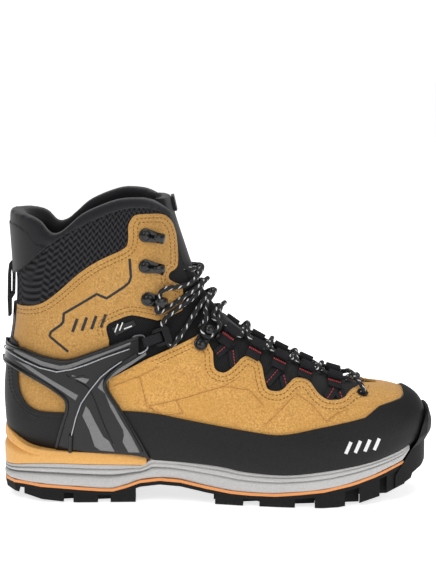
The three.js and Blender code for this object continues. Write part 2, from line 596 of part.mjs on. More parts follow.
// ---- Lacing ----
// A point over the front of the last: station u, distance y from the middle, distance d out of it.
function overFront(u, y, d) {
  const [, , , , , wl, wm, , n1] = sectionAt(u);
  const w = y < 0 ? wl : wm;
  const phi = Math.asin(Math.min(Math.abs(y) / w, 1) ** (n1 / 2));
  return offsetPoint(u, y < 0 ? phi : 2 * Math.PI - phi, d);
}
function throatFrame(u, side, beside) {
  const y = side * (throatHalf(u) + beside);
  const origin = overFront(u, y, 0);
  const e = 0.01;
  const up = overFront(u + e, y, 0).sub(overFront(u - e, y, 0)).normalize();
  const out = overFront(u, y, 1).sub(origin).normalize();
  const ahead = new THREE.Vector3().crossVectors(up, out).multiplyScalar(-side).normalize();
  if (ahead.y * side > 0) ahead.negate();
  return { origin, out, up, ahead };
}

const cord = laceDiameter / 2;
const loopStations = [4.83, 5.66, 6.42, 7.19, 8.2];
const loopHalf = 5;
const loopHeight = webbingThickness + 2 * gap + cord;
const guides = { lateral: [], medial: [] };
for (const { side, name } of sides) {
  const eye = placeAt(253.5, 73.8, side);
  const washer = new THREE.Shape();
  washer.absarc(0, 0, cord + 2.4, 0, 2 * Math.PI, false);
  const barrel = new THREE.Shape();
  barrel.absarc(0, 0, cord + 0.9, 0, 2 * Math.PI, false);
  const bore = cord + gap;
  pieces["eyelet_" + name] = standing(eye, washer, rubberIn, rubberIn + 1)
    .add(standing(eye, barrel, outerIn - 1.6, rubberIn + 0.5))
    .subtract(standing(eye, dot(bore, 10), -6, 6));
  pieces["eyelet_" + name].eyeRoom = standing(eye, dot(cord + 0.9 + gap, 10), -4, 4);
  guides[name].push([inFrame(eye, 0, 0, -2.2), inFrame(eye, 0, 0, 2.5), inFrame(eye, 0, 0, 4.6)]);

  loopStations.forEach((u, i) => {
    const f = throatFrame(u, side, 3.2);
    const ring = new THREE.Shape();
    ring.absarc(0, loopHeight, cord + 2 * gap + webbingThickness, 0, 2 * Math.PI, false);
    const hole = new THREE.Path();
    hole.absarc(0, loopHeight, cord + 2 * gap, 0, 2 * Math.PI, true);
    ring.holes.push(hole);
    const tail = layer(outerIn, webbingThickness)
      .intersect(standing(f, new THREE.Shape(rounded(-15, -loopHalf, 1, loopHalf, 0.5).getPoints(1)), -9, 5))
      .subtract(standing(f, rounded(-1, -9, 9, 9, 0.5), 0.4, 9));
    pieces["lace_loop_" + (i + 1) + "_" + name] = largest(
      running(f, ring, -loopHalf, loopHalf).add(tail).subtract(through(vampRegion, 0, gap)));
    guides[name].push([-loopHalf - 2, loopHalf + 2].map((v) => inFrame(f, 0, v, loopHeight)));
  });

  const fork = turned(placeAt(144, 118.5, side), 1.12);
  const foot = rubberIn;
  const plateTop = foot + 1.2;
  const wrap = 2.3 + 2 * gap + cord;
  const pin = standing(fork, dot(0.8, 8), plateTop - 0.2, plateTop + gap + laceDiameter + 1.6);
  const prongs = [-wrap - cord - 1.9, wrap + cord + 0.4].map((u) => {
    const side = [[-2.2, u], [2.6, u], [2.6, u + 1.5], [-2.2, u + 1.5]].map(([a, b]) => new THREE.Vector2(a, b));
    return standing(fork, new THREE.Shape(side), foot, plateTop + laceDiameter + 2.2);
  });
  pieces["lock_hook_" + name] = wasm.Manifold.union([
    standing(fork, rounded(-15, -4.6, 5, 4.6, 3.5), foot, plateTop),
    standing(fork, rounded(-2.6, -wrap - cord - 1.9, 3, wrap + cord + 1.9, 1), foot, plateTop),
    standing(fork, dot(3.3, 10), plateTop - 0.2, plateTop + 2.4).translate(
      fork.ahead.clone().multiplyScalar(-10.5).toArray()),
    pin,
    ...prongs,
  ]);
  pieces["lock_roller_" + name] = standing(fork, dot(2.3, 10), plateTop + gap, plateTop + gap + laceDiameter + 0.4)
    .add(standing(fork, dot(3.4, 10), plateTop + gap + laceDiameter + 0.3, plateTop + laceDiameter + 3.2))
    .subtract(standing(fork, dot(1.1, 8), plateTop, plateTop + gap + laceDiameter + 1.9));
  const wrapOut = plateTop + gap + cord;
  guides[name].push([[8, -wrap - 1], [0, -wrap], [-wrap * 0.72, -wrap * 0.72], [-wrap, 0], [-wrap * 0.72, wrap * 0.72],
    [0, wrap], [8, wrap + 1]].map(([a, u]) => inFrame(fork, a, u, wrapOut)));

  const slider = sliderPlaces[name];
  guides[name].push([-8.5, 0, 8.5].map((u) => inFrame(slider.place, slider.ahead, u, slider.out)));

  const hookPlaces = [[104, 143.6], [102.1, 167], [102.2, 188.5]];
  hookPlaces.forEach(([x, z], i) => {
    const f = turned(placeAt(x, z, side), -0.24);
    const profile = new THREE.Shape(
      [[-4.2, 0], [8.4, 0], [10, 1.6], [10, 6.4], [8.4, 7.8], [2, 8.4], [1.6, 7.2], [7.4, 6.6], [8.7, 5.6], [8.7, 2.4],
        [7.6, 1.2], [-4.2, 1.2]].map(([a, n]) => new THREE.Vector2(a, n + foot)),
    );
    pieces["speed_hook_" + (i + 1) + "_" + name] = wasm.Manifold.union([
      running(f, profile, -3.4, 3.4),
      standing(f, dot(4.2, 8), foot, plateTop),
      standing(f, dot(3.4, 8), plateTop - 0.1, plateTop + 1.8),
    ]);
    if (i === 0) guides[name].push([-7.5, 0, 7.5].map((u) => inFrame(f, 6.6, u, plateTop + gap + cord + 0.3)));
  });
}

// Each half of the lace starts at one toe eyelet and changes side at every guide.
const under = tongueOut + gap + cord + 0.6;
const over = under + laceDiameter + 0.5;
const crossings = [4.35, 5.25, 6.04, 6.8, 7.72, 9, 9.8, 10.6];
function half(startSide, height) {
  const points = [];
  let side = startSide;
  guides.lateral.forEach((_, i) => {
    const guide = (side < 0 ? guides.lateral : guides.medial)[i];
    points.push(...guide);
    const u = crossings[i];
    if (u !== undefined) {
      const wide = i > 4 ? 17 : 0;
      if (wide) points.push(overFront(u - 0.15, Y(side * wide), cord + gap + 1));
      points.push(overFront(u, 0, height));
      if (wide) points.push(overFront(u + 0.15, Y(-side * wide), cord + gap + 1));
    }
    side = -side;
  });
  const last = -side;
  points.push(
    overFront(11.2, Y(last * 18), cord + gap + 1), overFront(11.45, 0, height), overFront(11.8, Y(-last * 13), cord + 0.4),
    overFront(12.2, Y(-last * 16.3), -3), overFront(12.5, Y(-last * 17), -8.5),
  );
  return points;
}
const bar = [overFront(4.0, Y(-8), -3.2), overFront(4.0, Y(8), -3.2)];
const lacePath = [...half(-1, over).reverse(), ...bar, ...half(1, under)];
const lace = tube(lacePath, cord, 1, false, 5);
const laceRoom = tube(lacePath, cord + 1.5 * gap, 1, false, 5);

// ---- Insole, label and pull loop ----
const footbedTop = curve([10, 56], [16, 45], [27, 40.5], [50, 38.5], [90, 37], [130, 33], [165, 29], [200, 27.6],
  [225, 29.5], [248, 34], [268, 40.5], [286, 48]);
const footbed = body(liningIn - gap).intersect(through([...footbedTop, ...corners([290, 5], [5, 5])]));
const label = layer(outerIn, 0.9).intersect(through(corners([79, 124], [94, 129.2], [95.6, 125.6], [81.5, 118.6]), -1));
const pullOutline = new THREE.Shape(corners([4.2, 127], [5.8, 127], [6, 137.8], [8.4, 141.5], [9, 157], [8.4, 164.5],
  [7, 166], [5.3, 164.5], [4.4, 157], [3.9, 140]));
pullOutline.holes.push(new THREE.Path(corners([5.6, 143], [7.3, 144.5], [7.7, 157], [6.9, 163], [5.8, 157])));
const pullWidth = 12;
const pull_loop = closed(
  new THREE.ExtrudeGeometry(pullOutline, { depth: pullWidth, bevelEnabled: false })
    .rotateX(Math.PI / 2).translate(0, pullWidth / 2, 0),
);

// ---- Assembly ----
const halfOf = (solid, side) =>
  largest(solid.intersect(through(box(-20, -20, 400, 300), side)));
const eyeRoom = wasm.Manifold.union([pieces.eyelet_lateral.eyeRoom, pieces.eyelet_medial.eyeRoom]);
const soft = (solid) => largest(solid.subtract(laceRoom).subtract(eyeRoom));
for (const name of Object.keys(pieces)) {
  if (/^(slider|eyelet)/.test(name)) pieces[name] = largest(pieces[name].subtract(laceRoom));
}
Object.assign(pieces, {
  outsole: largest(outsole), sole_inlay, midsole: largest(midsole), heel_wedge: largest(heel_wedge), shank,
  insole_board, footbed: largest(footbed), lining_bootie: soft(lining_bootie), collar_roll: largest(collar_roll), heel_pad,
  heel_stiffener, toe_puff: soft(toe_puff), vamp_suede: soft(vamp_suede), collar_mesh, toe_rand: largest(toe_rand),
  heel_cap, back_strap, tongue: soft(tongue), tongue_tab, label, pull_loop, lace,
});
for (const { side, name } of sides) {
  pieces["side_textile_" + name] = soft(halfOf(textile, side));
  pieces["ankle_panel_" + name] = soft(halfOf(outerLayer.intersect(through(ankleRegion)), side));
}

const finishes = {
  suede: new THREE.MeshStandardMaterial({ color: 0xc99d52, roughness: 0.95 }),
  fabric: new THREE.MeshStandardMaterial({ color: 0x1d1d20, roughness: 0.9 }),
  rubber: new THREE.MeshStandardMaterial({ color: 0x2b2b2d, roughness: 0.7 }),
  cage: new THREE.MeshStandardMaterial({ color: 0x242427, roughness: 0.45 }),
  midsole: new THREE.MeshStandardMaterial({ color: 0xb4b6ba, roughness: 0.6 }),
  inlay: new THREE.MeshStandardMaterial({ color: 0xd98f5a, roughness: 0.6 }),
  wedge: new THREE.MeshStandardMaterial({ color: 0xeab45f, roughness: 0.55 }),
  metal: new THREE.MeshStandardMaterial({ color: 0x5a5b61, roughness: 0.3, metalness: 1 }),
  steel: new THREE.MeshStandardMaterial({ color: 0xb9bbc0, roughness: 0.25, metalness: 1 }),
  board: new THREE.MeshStandardMaterial({ color: 0xc4a77a, roughness: 0.9 }),
};
const finishOf = (name) => {
  if (/suede|ankle_panel/.test(name)) return finishes.suede;
  if (/hook|roller|eyelet/.test(name)) return finishes.metal;
  if (/d_ring|cable|shank/.test(name)) return finishes.steel;
  if (/outsole|rand|heel_cap/.test(name)) return finishes.rubber;
  if (/cage|slider/.test(name)) return finishes.cage;
  if (/midsole/.test(name)) return finishes.midsole;
  if (/inlay/.test(name)) return finishes.inlay;
  if (/wedge/.test(name)) return finishes.wedge;
  if (/board|stiffener|puff/.test(name)) return finishes.board;
  return finishes.fabric;
};

const group = new THREE.Group();
for (const [name, solid] of Object.entries(pieces)) {
  const { numProp, vertProperties, triVerts } = solid.getMesh();
  const geometry = new THREE.BufferGeometry();
  const positions = new Float32Array((vertProperties.length / numProp) * 3);
  for (let i = 0; i < positions.length; i++) positions[i] = vertProperties[Math.floor(i / 3) * numProp + (i % 3)];
  geometry.setAttribute("position", new THREE.BufferAttribute(positions, 3));
  geometry.setIndex(new THREE.BufferAttribute(triVerts, 1));
  geometry.computeVertexNormals();
  const piece = new THREE.Mesh(geometry, finishOf(name));
  piece.name = name;
  group.add(piece);
}

// The frame sits at the middle of the foot's footprint, on the ground.
const bounds = new THREE.Box3().setFromObject(group);
const middle = bounds.getCenter(new THREE.Vector3());
for (const piece of group.children) piece.geometry.translate(-middle.x, -middle.y, -bounds.min.z);

export default group;
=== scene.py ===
# %% [markdown]
# # A mountaineering boot, dressed piece by piece
# The jointed model of the boot is already made and packed. Here every piece that is seen gets its real
# surface: suede with nap, woven mesh, padded collar, moulded rubber, braided lace and dark metal hooks.
# The first cell opens the imported model as a fixed frame.

# %% Open the frame
import math
import bmesh
import bpy
import numpy as np
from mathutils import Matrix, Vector
from mathutils.kdtree import KDTree


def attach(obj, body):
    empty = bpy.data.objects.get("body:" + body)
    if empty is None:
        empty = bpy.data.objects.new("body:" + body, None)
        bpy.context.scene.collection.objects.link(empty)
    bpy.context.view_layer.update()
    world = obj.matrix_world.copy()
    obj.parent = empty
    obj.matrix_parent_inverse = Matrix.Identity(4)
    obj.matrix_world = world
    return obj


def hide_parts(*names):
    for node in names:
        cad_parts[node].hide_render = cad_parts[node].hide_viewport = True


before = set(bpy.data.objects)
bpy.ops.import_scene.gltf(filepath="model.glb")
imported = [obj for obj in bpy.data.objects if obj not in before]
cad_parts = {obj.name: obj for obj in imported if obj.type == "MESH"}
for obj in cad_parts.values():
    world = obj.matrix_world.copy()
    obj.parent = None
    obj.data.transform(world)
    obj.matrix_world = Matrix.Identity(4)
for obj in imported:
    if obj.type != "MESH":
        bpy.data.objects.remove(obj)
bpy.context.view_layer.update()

# %% [markdown]
# ## The last
# A boot is built on a last, a solid foot shape. Ours is a row of cross sections from the toe tip, over
# the instep, to the top of the shaft. Each row holds: front x z, back x z, middle y, width out, width in,
# the fullest place, and how square the front and the back are. A smooth curve runs through the rows, so
# the surface can be sampled as finely as a piece needs. All values are millimetres.

# %% Sections of the last
SECTIONS = np.array([
    [299, 47, 299, 47, 9, 0, 0, 0.6, 2.3, 2.6],
    [296, 61, 294, 41, 9, 22, 20, 0.6, 2.3, 2.8],
    [288, 69.5, 284, 34.5, 8, 34, 30, 0.62, 2.3, 3.2],
    [274, 75, 269, 28.5, 6, 43, 36, 0.66, 2.3, 3.8],
    [253, 78.5, 249, 22, 3, 50, 41, 0.7, 2.25, 4.2],
    [230, 85, 223, 17, 0, 53, 45, 0.72, 2.1, 4.5],
    [206, 96, 195, 15.5, -1, 52, 46, 0.72, 2, 4.5],
    [184, 108, 163, 18, -1, 47, 44, 0.7, 2, 4.2],
    [166, 120, 127, 23, 0, 42, 41, 0.66, 2, 3.8],
    [153, 132, 86, 26, 0, 40, 39, 0.6, 2, 3.4],
    [144, 144, 42, 27, 0, 39, 38, 0.52, 2, 3.2],
    [138, 155, 10, 41, 0, 38, 37, 0.48, 2.1, 2.8],
    [134, 166, 4, 64, 0, 38, 37, 0.47, 2.1, 2.4],
    [130, 178, 5, 92, 0, 39, 38, 0.47, 2.15, 2.2],
    [126, 190, 10, 121, 0, 41, 40, 0.48, 2.2, 2.1],
    [122, 203, 12, 149, 0, 43, 42, 0.49, 2.2, 2.1],
    [119, 216, 11, 178, 0, 45, 44, 0.5, 2.2, 2.1],
    [116, 230, 9, 207, 0, 46, 45, 0.5, 2.2, 2.1],
])
TOP = len(SECTIONS) - 1
toe_guide = SECTIONS[1][[2, 3, 0, 1, 4, 5, 6, 7, 8, 9]] * [1, 1, 1, 1, 1, -1, -1, 1, 1, 1]
KNOTS = np.vstack([toe_guide, SECTIONS, 2 * SECTIONS[-1] - SECTIONS[-2]])
FRAME_SHIFT = np.array([-152.7534, 3.9537, 0.0])


def spline(a, b, c, d, t):
    """A smooth run from b to c at t from 0 to 1, with a before them and d after."""
    return 0.5 * (2 * b + (c - a) * t + (2 * a - 5 * b + 4 * c - d) * t * t
        + (3 * b - a - 3 * c + d) * t**3)


def section_at(u):
    u = np.asarray(u, float)
    k = np.clip(np.floor(u).astype(int), 0, TOP - 1)
    t = (u - k)[..., None]
    return spline(KNOTS[k], KNOTS[k + 1], KNOTS[k + 2], KNOTS[k + 3], t)


def last(u, phi):
    """Points of the last: u from toe to shaft, phi from the front middle round the outer side to the back."""
    fx, fz, bx, bz, yc, wl, wm, full, n1, n2 = np.moveaxis(section_at(u), -1, 0)
    c, s = np.cos(phi), np.sin(phi)
    n = np.where(c >= 0, n1, n2)
    deep = np.abs(c) ** (2 / n)
    a = np.where(c >= 0, full - full * deep, full + (1 - full) * deep)
    w = np.abs(s) ** (2 / n)
    return np.stack([fx + (bx - fx) * a, yc + np.where(s >= 0, -wl * w, wm * w), fz + (bz - fz) * a], -1)


def last_normal(u, phi):
    e = 0.002
    along = last(u + e, phi) - last(u - e, phi)
    around = last(u, phi + e) - last(u, phi - e)
    n = np.cross(along, around)
    return n / np.linalg.norm(n, axis=-1, keepdims=True)


def skin(u, phi, d):
    return last(u, phi) + last_normal(u, phi) * d


print("the last runs from x", SECTIONS[:, 2].min(), "to", SECTIONS[:, 0].max())

# %% [markdown]
# ## From points to pieces
# The upper is cut from sheets: each panel is a thin layer of the last, trimmed to its pattern as seen
# from the side. A mesh boolean does that trimming exactly as a knife does. The other way, pulling a flat
# panel onto the foot, would stretch it over the toe. The helpers make a closed shell, a cutter from an
# outline, and cut.

# %% Shells, outlines and cutters
def mesh_object(name, points, faces):
    mesh = bpy.data.meshes.new(name)
    mesh.from_pydata([tuple(p) for p in points], [], [tuple(f) for f in faces])
    mesh.update()
    thing = bpy.data.objects.new(name, mesh)
    bpy.context.scene.collection.objects.link(thing)
    return thing


def ring_solid(name, rings):
    """A closed body from rings of points (rings x count x 3), in millimetres."""
    rings = np.asarray(rings, float)
    rows, count, _ = rings.shape
    points = np.vstack([rings.reshape(-1, 3), rings[0].mean(0), rings[-1].mean(0)])
    faces = []
    for i in range(rows - 1):
        for j in range(count):
            k = (j + 1) % count
            faces.append((i * count + j, (i + 1) * count + j, (i + 1) * count + k, i * count + k))
    end = (rows - 1) * count
    for j in range(count):
        k = (j + 1) % count
        faces.append((len(points) - 2, j, k))
        faces.append((len(points) - 1, end + k, end + j))
    body = mesh_object(name, points, faces)
    outward(body)
    return body


def outward(thing):
    work = bmesh.new()
    work.from_mesh(thing.data)
    bmesh.ops.recalc_face_normals(work, faces=work.faces)
    if work.calc_volume(signed=True) < 0:
        bmesh.ops.reverse_faces(work, faces=work.faces)
    work.to_mesh(thing.data)
    work.free()


STATIONS = np.concatenate([[0.03, 0.12, 0.24, 0.4, 0.6, 0.8], np.arange(1, 17.01, 0.2)])
AROUND = 96


def shell(d):
    phi = 2 * np.pi * (np.arange(AROUND) + 0.5) / AROUND
    u, p = np.meshgrid(STATIONS, phi, indexing="ij")
    return ring_solid("shell", skin(u, p, d))


def smooth_line(points, detail=5):
    """A smooth run through side-view points."""
    p = np.array(points, float)
    p = np.vstack([2 * p[0] - p[1], p, 2 * p[-1] - p[-2]])
    made = []
    for k in range(1, len(p) - 2):
        for t in np.arange(detail) / detail:
            made.append(spline(*p[k - 1 : k + 3], t))
    return [tuple(q) for q in made] + [tuple(points[-1])]


def area_of(line):
    p = np.array(line)
    q = np.roll(p, -1, 0)
    return 0.5 * float(np.sum(p[:, 0] * q[:, 1] - q[:, 0] * p[:, 1]))


def grown(line, by):
    """The outline moved outwards by that many millimetres."""
    p = np.array([a for i, a in enumerate(line) if math.dist(a, line[i - 1]) > 0.05], float)
    sign = 1 if area_of(p) > 0 else -1
    edge = np.roll(p, -1, 0) - p
    n1 = np.stack([edge[:, 1], -edge[:, 0]], 1) / np.linalg.norm(edge, axis=1, keepdims=True) * sign
    n0 = np.roll(n1, 1, 0)
    n = n0 + n1
    n /= np.maximum(np.linalg.norm(n, axis=1, keepdims=True), 1e-6)
    return p + n * by / np.maximum((n * n1).sum(1, keepdims=True), 0.5)


def prism(name, bottom, top):
    """A body between two matching outlines."""
    count = len(bottom)
    faces = [tuple(range(count)), tuple(range(2 * count - 1, count - 1, -1))]
    faces += [(i, i + count, (i + 1) % count + count, (i + 1) % count) for i in range(count)]
    return mesh_object(name, [*bottom, *top], faces)


def through(line, side=0, by=0.0):
    """A side-view outline pushed through the boot; side -1 is the outer half and +1 the inner half."""
    p = grown(line, by)
    y0, y1 = (0.15 if side > 0 else -90), (-0.15 if side < 0 else 90)
    cutter = prism("cutter", [(x, y0, z) for x, z in p], [(x, y1, z) for x, z in p])
    work = bmesh.new()
    work.from_mesh(cutter.data)
    bmesh.ops.triangulate(work, faces=work.faces, ngon_method="EAR_CLIP")
    work.to_mesh(cutter.data)
    work.free()
    outward(cutter)
    return cutter


def applied(thing):
    """Makes the modifiers' result the thing's own mesh."""
    ready = thing.evaluated_get(bpy.context.evaluated_depsgraph_get())
    mesh = bpy.data.meshes.new_from_object(ready)
    thing.modifiers.clear()
    thing.data = mesh
    return thing


def cut(a, b, how="DIFFERENCE", keep=False):
    """Cuts a with b; b is used up unless it is kept for the next cut."""
    knife = a.modifiers.new("cut", "BOOLEAN")
    knife.operation, knife.object, knife.solver = how, b, "MANIFOLD"
    applied(a)
    if not keep:
        bpy.data.objects.remove(b)
    return a


shells = {}


def between(d_in, d_out):
    """The layer of the last between two distances from it."""
    for d in (d_in, d_out):
        if d not in shells:
            shells[d] = shell(d)
    layer = bpy.data.objects.new("layer", shells[d_out].data.copy())
    bpy.context.scene.collection.objects.link(layer)
    return cut(layer, shells[d_in], keep=True)


def trimmed(d_in, d_out, line, side=0, by=0.0):
    """The part of a layer inside a side-view outline."""
    return cut(between(d_in, d_out), through(line, side, by), "INTERSECT")


GAP = 0.3
LINING_IN, LINING_OUT, MID_IN, MID_OUT = -7.0, -2.5, -2.2, -0.3
SUEDE_OUT, PAD_OUT, RUBBER_IN, RUBBER_OUT, CAGE_OUT = 1.5, 2.1, 1.8, 3.3, 5.6
SIDES = ((-1, "lateral"), (1, "medial"))
print("layers of the upper from", LINING_IN, "to", CAGE_OUT, "mm")

# %% [markdown]
# ## The pattern
# These are the lines of the boot as a pattern cutter would draw them, seen from the side, in millimetres
# from the back of the heel and up from the ground. Neighbouring pieces share a line, so that they always
# meet.

# %% Pattern lines
collar_top = smooth_line([(-12, 204), (8, 203), (21, 201), (30, 197.5), (37, 190), (44, 190.5), (51, 196),
    (62, 205), (82, 213), (96, 214), (106, 212), (116, 206), (134, 191)])
collar_seam = smooth_line([(-12, 150), (3, 153.5), (14.5, 162.5), (25, 173), (35, 181), (44, 187.5),
    (61, 197.5), (83, 206.5), (96, 208), (108, 206), (119, 198.5), (134, 182)])
ankle_top = smooth_line([(-12, 136.5), (5, 136), (20, 137.5), (30, 140.5), (40.5, 148), (56.5, 162.5),
    (70, 171.5), (85.5, 178.5)])
ankle_front = smooth_line([(85.5, 178.5), (90, 182), (91, 188.5), (91, 195.5), (93.5, 201), (98, 203.3),
    (113, 202.3), (119, 198), (122.7, 191), (124.2, 180.5), (124.7, 169), (123.5, 164), (119, 161),
    (118.4, 157), (122, 154)], 3)[1:]
ankle_front += [(127.6, 151.5), (128.8, 138.5)]
ankle_front += smooth_line([(127.4, 134.6), (113, 129), (106, 130), (93, 133), (84, 130.5), (75.4, 125.7),
    (77, 115.6)], 3)
vamp_top = [(80, 90), (102.5, 102), (136.7, 116.4), (142, 119.7)]
vamp_top += smooth_line([(149, 105.6), (150, 95.4), (154.6, 92.2), (159, 92.8), (164, 96.5), (170, 101.5),
    (176, 101.6), (182.5, 97), (185, 87), (187, 81.5), (192, 79.8), (197, 80.5), (202, 84.5), (207, 87),
    (215.5, 85.2), (222, 77.7), (228, 73.6), (235.5, 72.7), (241, 74), (246, 77), (252, 78)], 4)
vamp_top += [(258, 84), (262, 95)]
rand_top = smooth_line([(78, 66.5), (87, 66.2), (108, 64.5), (140, 58.5), (180, 52.7), (198, 51.8),
    (223, 56.2), (245, 59.7)])
rand_top += smooth_line([(255, 61.5), (263, 66.5), (267, 68.2), (281, 70.5)], 3) + [(284, 72), (285, 90)]
wedge_top = smooth_line([(-12, 51), (-1, 50.8), (3.6, 48), (10, 43.4), (19, 38.8), (38, 36.6), (88, 34.3),
    (106, 31)])
heel_split = smooth_line([(-12, 22.5), (0, 23), (29, 27.4), (69, 26.8), (100, 26)])
ball_top = smooth_line([(106, 29.8), (130, 28.8), (154, 27.2), (171, 24.3), (198, 23.1), (223, 25.4),
    (255, 29.4), (277, 33.2), (292, 39)])
inlay_top = smooth_line([(-12, 12.5), (0, 13.5), (17, 13.4), (52, 11.4), (70, 10), (79, 9.8), (88, 12.2),
    (98, 15.7), (112, 17.2), (126, 16.4), (143, 12.9), (161, 10.2), (175, 9.5), (192, 9.5), (209, 11.1),
    (227, 13.3), (244, 16.4), (262, 21), (283, 28)])
heel_cap_top = smooth_line([(-12, 111), (11.7, 111), (12.1, 92.5), (13.1, 80), (16.2, 72.4), (21.4, 67.2),
    (29.4, 64.6), (46, 64.2), (52, 64)])


def lower(line, by):
    return [(x, z - by) for x, z in line]


def below(line):
    """The region under a collar line, down past the sole."""
    return list(line) + [(160, 185), (400, 185), (400, -10), (-12, -10)]


ankle_region = ankle_top + ankle_front + [(76, 92), (78, 60), (80, -10), (-12, -10)]
vamp_region = [(80, -10), (78, 60), (76, 88)] + vamp_top + [(330, 95), (330, -10)]
mesh_region = lower(collar_seam, GAP)[::-1] + ankle_top + [(90, 175), (134, 175)]
rand_region = rand_top + [(330, 90), (330, 10), (92, 10), (80, 50)]
heel_cap_region = heel_cap_top + [(60, 30), (-12, 30)]
wall_foot = lower(wedge_top, -GAP) + lower(ball_top, -GAP)
mid_region = lower(inlay_top, -GAP)[:-1] + [(283, 28), (293, 41)] + ball_top[::-1][1:]
mid_region += [(101, 26)] + heel_split[::-1][1:]
wedge_region = wedge_top + [(104.5, 29.5), (101, 26.4)] + lower(heel_split, -GAP)[::-1][1:]
print("the rand's upper edge has", len(rand_top), "points")

# %% [markdown]
# ## The throat
# The front of the boot is open where the tongue sits. The opening is a wedge that follows the instep, so
# its cutter is a row of four-cornered rings standing on the front line of the last.

# %% Throat cutter
THROAT_WIDTHS = [(3.4, 3), (3.8, 7), (5, 10), (7, 12.5), (9, 14), (11, 15), (13, 17), (15, 19), (17.2, 22)]


def throat_half(u):
    return float(np.interp(u, *zip(*THROAT_WIDTHS)))


SLOT_DEEP, SLOT_HIGH = 32, 26


def slot(by, start):
    """A slot along the throat, from the section start on, wider than it by that much a side."""
    rings = []
    for u in np.linspace(start, TOP, 70):
        fx, fz, yc = section_at(u)[[0, 1, 4]]
        ahead, behind = section_at(min(u + 0.01, TOP)), section_at(u - 0.01)
        out = np.array([ahead[1] - behind[1], 0, behind[0] - ahead[0]])
        out /= np.linalg.norm(out)
        w = throat_half(u) + by
        rings.append([np.array([fx, yc + y, fz]) + out * d
            for y, d in ((-w, -SLOT_DEEP), (w, -SLOT_DEEP), (w, SLOT_HIGH), (-w, SLOT_HIGH))])
    return ring_solid("slot", rings)


throat = slot(0, 3.45)
print("throat half width at the ankle:", throat_half(9), "mm")

# %% [markdown]
# ## Finishing a piece
# Every cut piece goes from the last's millimetres into the frame's metres, gets smooth shading with crisp
# edges, its finish and the CAD body it moves with, and the plain solids that it stands for are hidden.

# %% Finish helper
def largest(thing):
    """Keeps the biggest connected part of a mesh."""
    work = bmesh.new()
    work.from_mesh(thing.data)
    left, groups = set(work.verts), []
    while left:
        stack, found = [left.pop()], []
        while stack:
            v = stack.pop()
            found.append(v)
            for e in v.link_edges:
                w = e.other_vert(v)
                if w in left:
                    left.remove(w)
                    stack.append(w)
        groups.append(found)
    groups.sort(key=len, reverse=True)
    for g in groups[1:]:
        bmesh.ops.delete(work, geom=g, context="VERTS")
    work.to_mesh(thing.data)
    work.free()
    return thing


def place(thing):
    """Millimetres of the last to metres of the frame."""
    co = np.empty(len(thing.data.vertices) * 3)
    thing.data.vertices.foreach_get("co", co)
    co = (co.reshape(-1, 3) + FRAME_SHIFT) / 1000
    thing.data.vertices.foreach_set("co", co.ravel())
    thing.data.update()


def finish_piece(thing, name, material, *nodes, body="boot", slot_name=None, angle=38):
    place(thing)
    thing.name = name
    thing.data.shade_smooth()
    thing.data.set_sharp_from_angle(angle=math.radians(angle))
    thing.data.materials.clear()
    thing.data.materials.append(material)
    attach(thing, body)
    if nodes:
        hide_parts(*nodes)
    print(name, len(thing.data.polygons), "faces")
    return thing

# %% [markdown]
# ## Finishes: two shared effects
# Grain is the fine irregular relief of leather, foam and rubber. Weave is the over and under of yarn.
# Both are used by several materials, so each is a node group that only gives out values, and each
# material feeds them to its own colour and bump. They work in the object's own space, so no unwrapping is
# needed.

# %% Node groups
def calculator(tree):
    """Math nodes written as calls: calc("ADD", a, b)."""
    def calc(op, *values):
        node = tree.nodes.new("ShaderNodeMath")
        node.operation = op
        for i, v in enumerate(values):
            if isinstance(v, (int, float)):
                node.inputs[i].default_value = v
            else:
                tree.links.new(v, node.inputs[i])
        return node.outputs[0]
    return calc


def new_group(name, inputs, outputs):
    tree = bpy.data.node_groups.new(name, "ShaderNodeTree")
    for label, value in inputs:
        tree.interface.new_socket(label, in_out="INPUT",
            socket_type="NodeSocketFloat").default_value = value
    for label in outputs:
        tree.interface.new_socket(label, in_out="OUTPUT", socket_type="NodeSocketFloat")
    return tree, tree.nodes.new("NodeGroupInput"), tree.nodes.new("NodeGroupOutput")


def make_grain():
    tree, inp, out = new_group("grain", [("Fine", 1800.0), ("Broad", 45.0)], ["Relief", "Patch"])
    where = tree.nodes.new("ShaderNodeTexCoord").outputs["Object"]
    fine = tree.nodes.new("ShaderNodeTexNoise")
    fine.inputs["Detail"].default_value = 4
    broad = tree.nodes.new("ShaderNodeTexNoise")
    broad.inputs["Detail"].default_value = 3
    for noise, label in ((fine, "Fine"), (broad, "Broad")):
        tree.links.new(where, noise.inputs["Vector"])
        tree.links.new(inp.outputs[label], noise.inputs["Scale"])
    tree.links.new(fine.outputs["Fac"], out.inputs["Relief"])
    tree.links.new(broad.outputs["Fac"], out.inputs["Patch"])
    return tree


def make_weave():
    tree, inp, out = new_group("weave", [("Threads per metre", 900.0), ("Zigzag", 0.0)], ["Relief", "Hole"])
    where = tree.nodes.new("ShaderNodeTexCoord").outputs["Object"]
    split = tree.nodes.new("ShaderNodeSeparateXYZ")
    tree.links.new(where, split.inputs[0])
    x, y, z = split.outputs
    calc = calculator(tree)
    across = calc("MULTIPLY", calc("ADD", x, y), inp.outputs[0])
    swing = calc("MULTIPLY", calc("PINGPONG", across, 1.0), inp.outputs[1])
    up = calc("ADD", calc("MULTIPLY", z, inp.outputs[0]), swing)
    warp = calc("SINE", calc("MULTIPLY", across, math.pi))
    weft = calc("SINE", calc("MULTIPLY", up, math.pi))
    relief = calc("MULTIPLY", calc("ADD", calc("MULTIPLY", warp, weft), 1.0), 0.5)
    tree.links.new(relief, out.inputs["Relief"])
    hole = calc("SUBTRACT", calc("MULTIPLY", weft, 0.5), calc("MULTIPLY", relief, 0.3))
    tree.links.new(calc("GREATER_THAN", hole, 0.12), out.inputs["Hole"])
    return tree


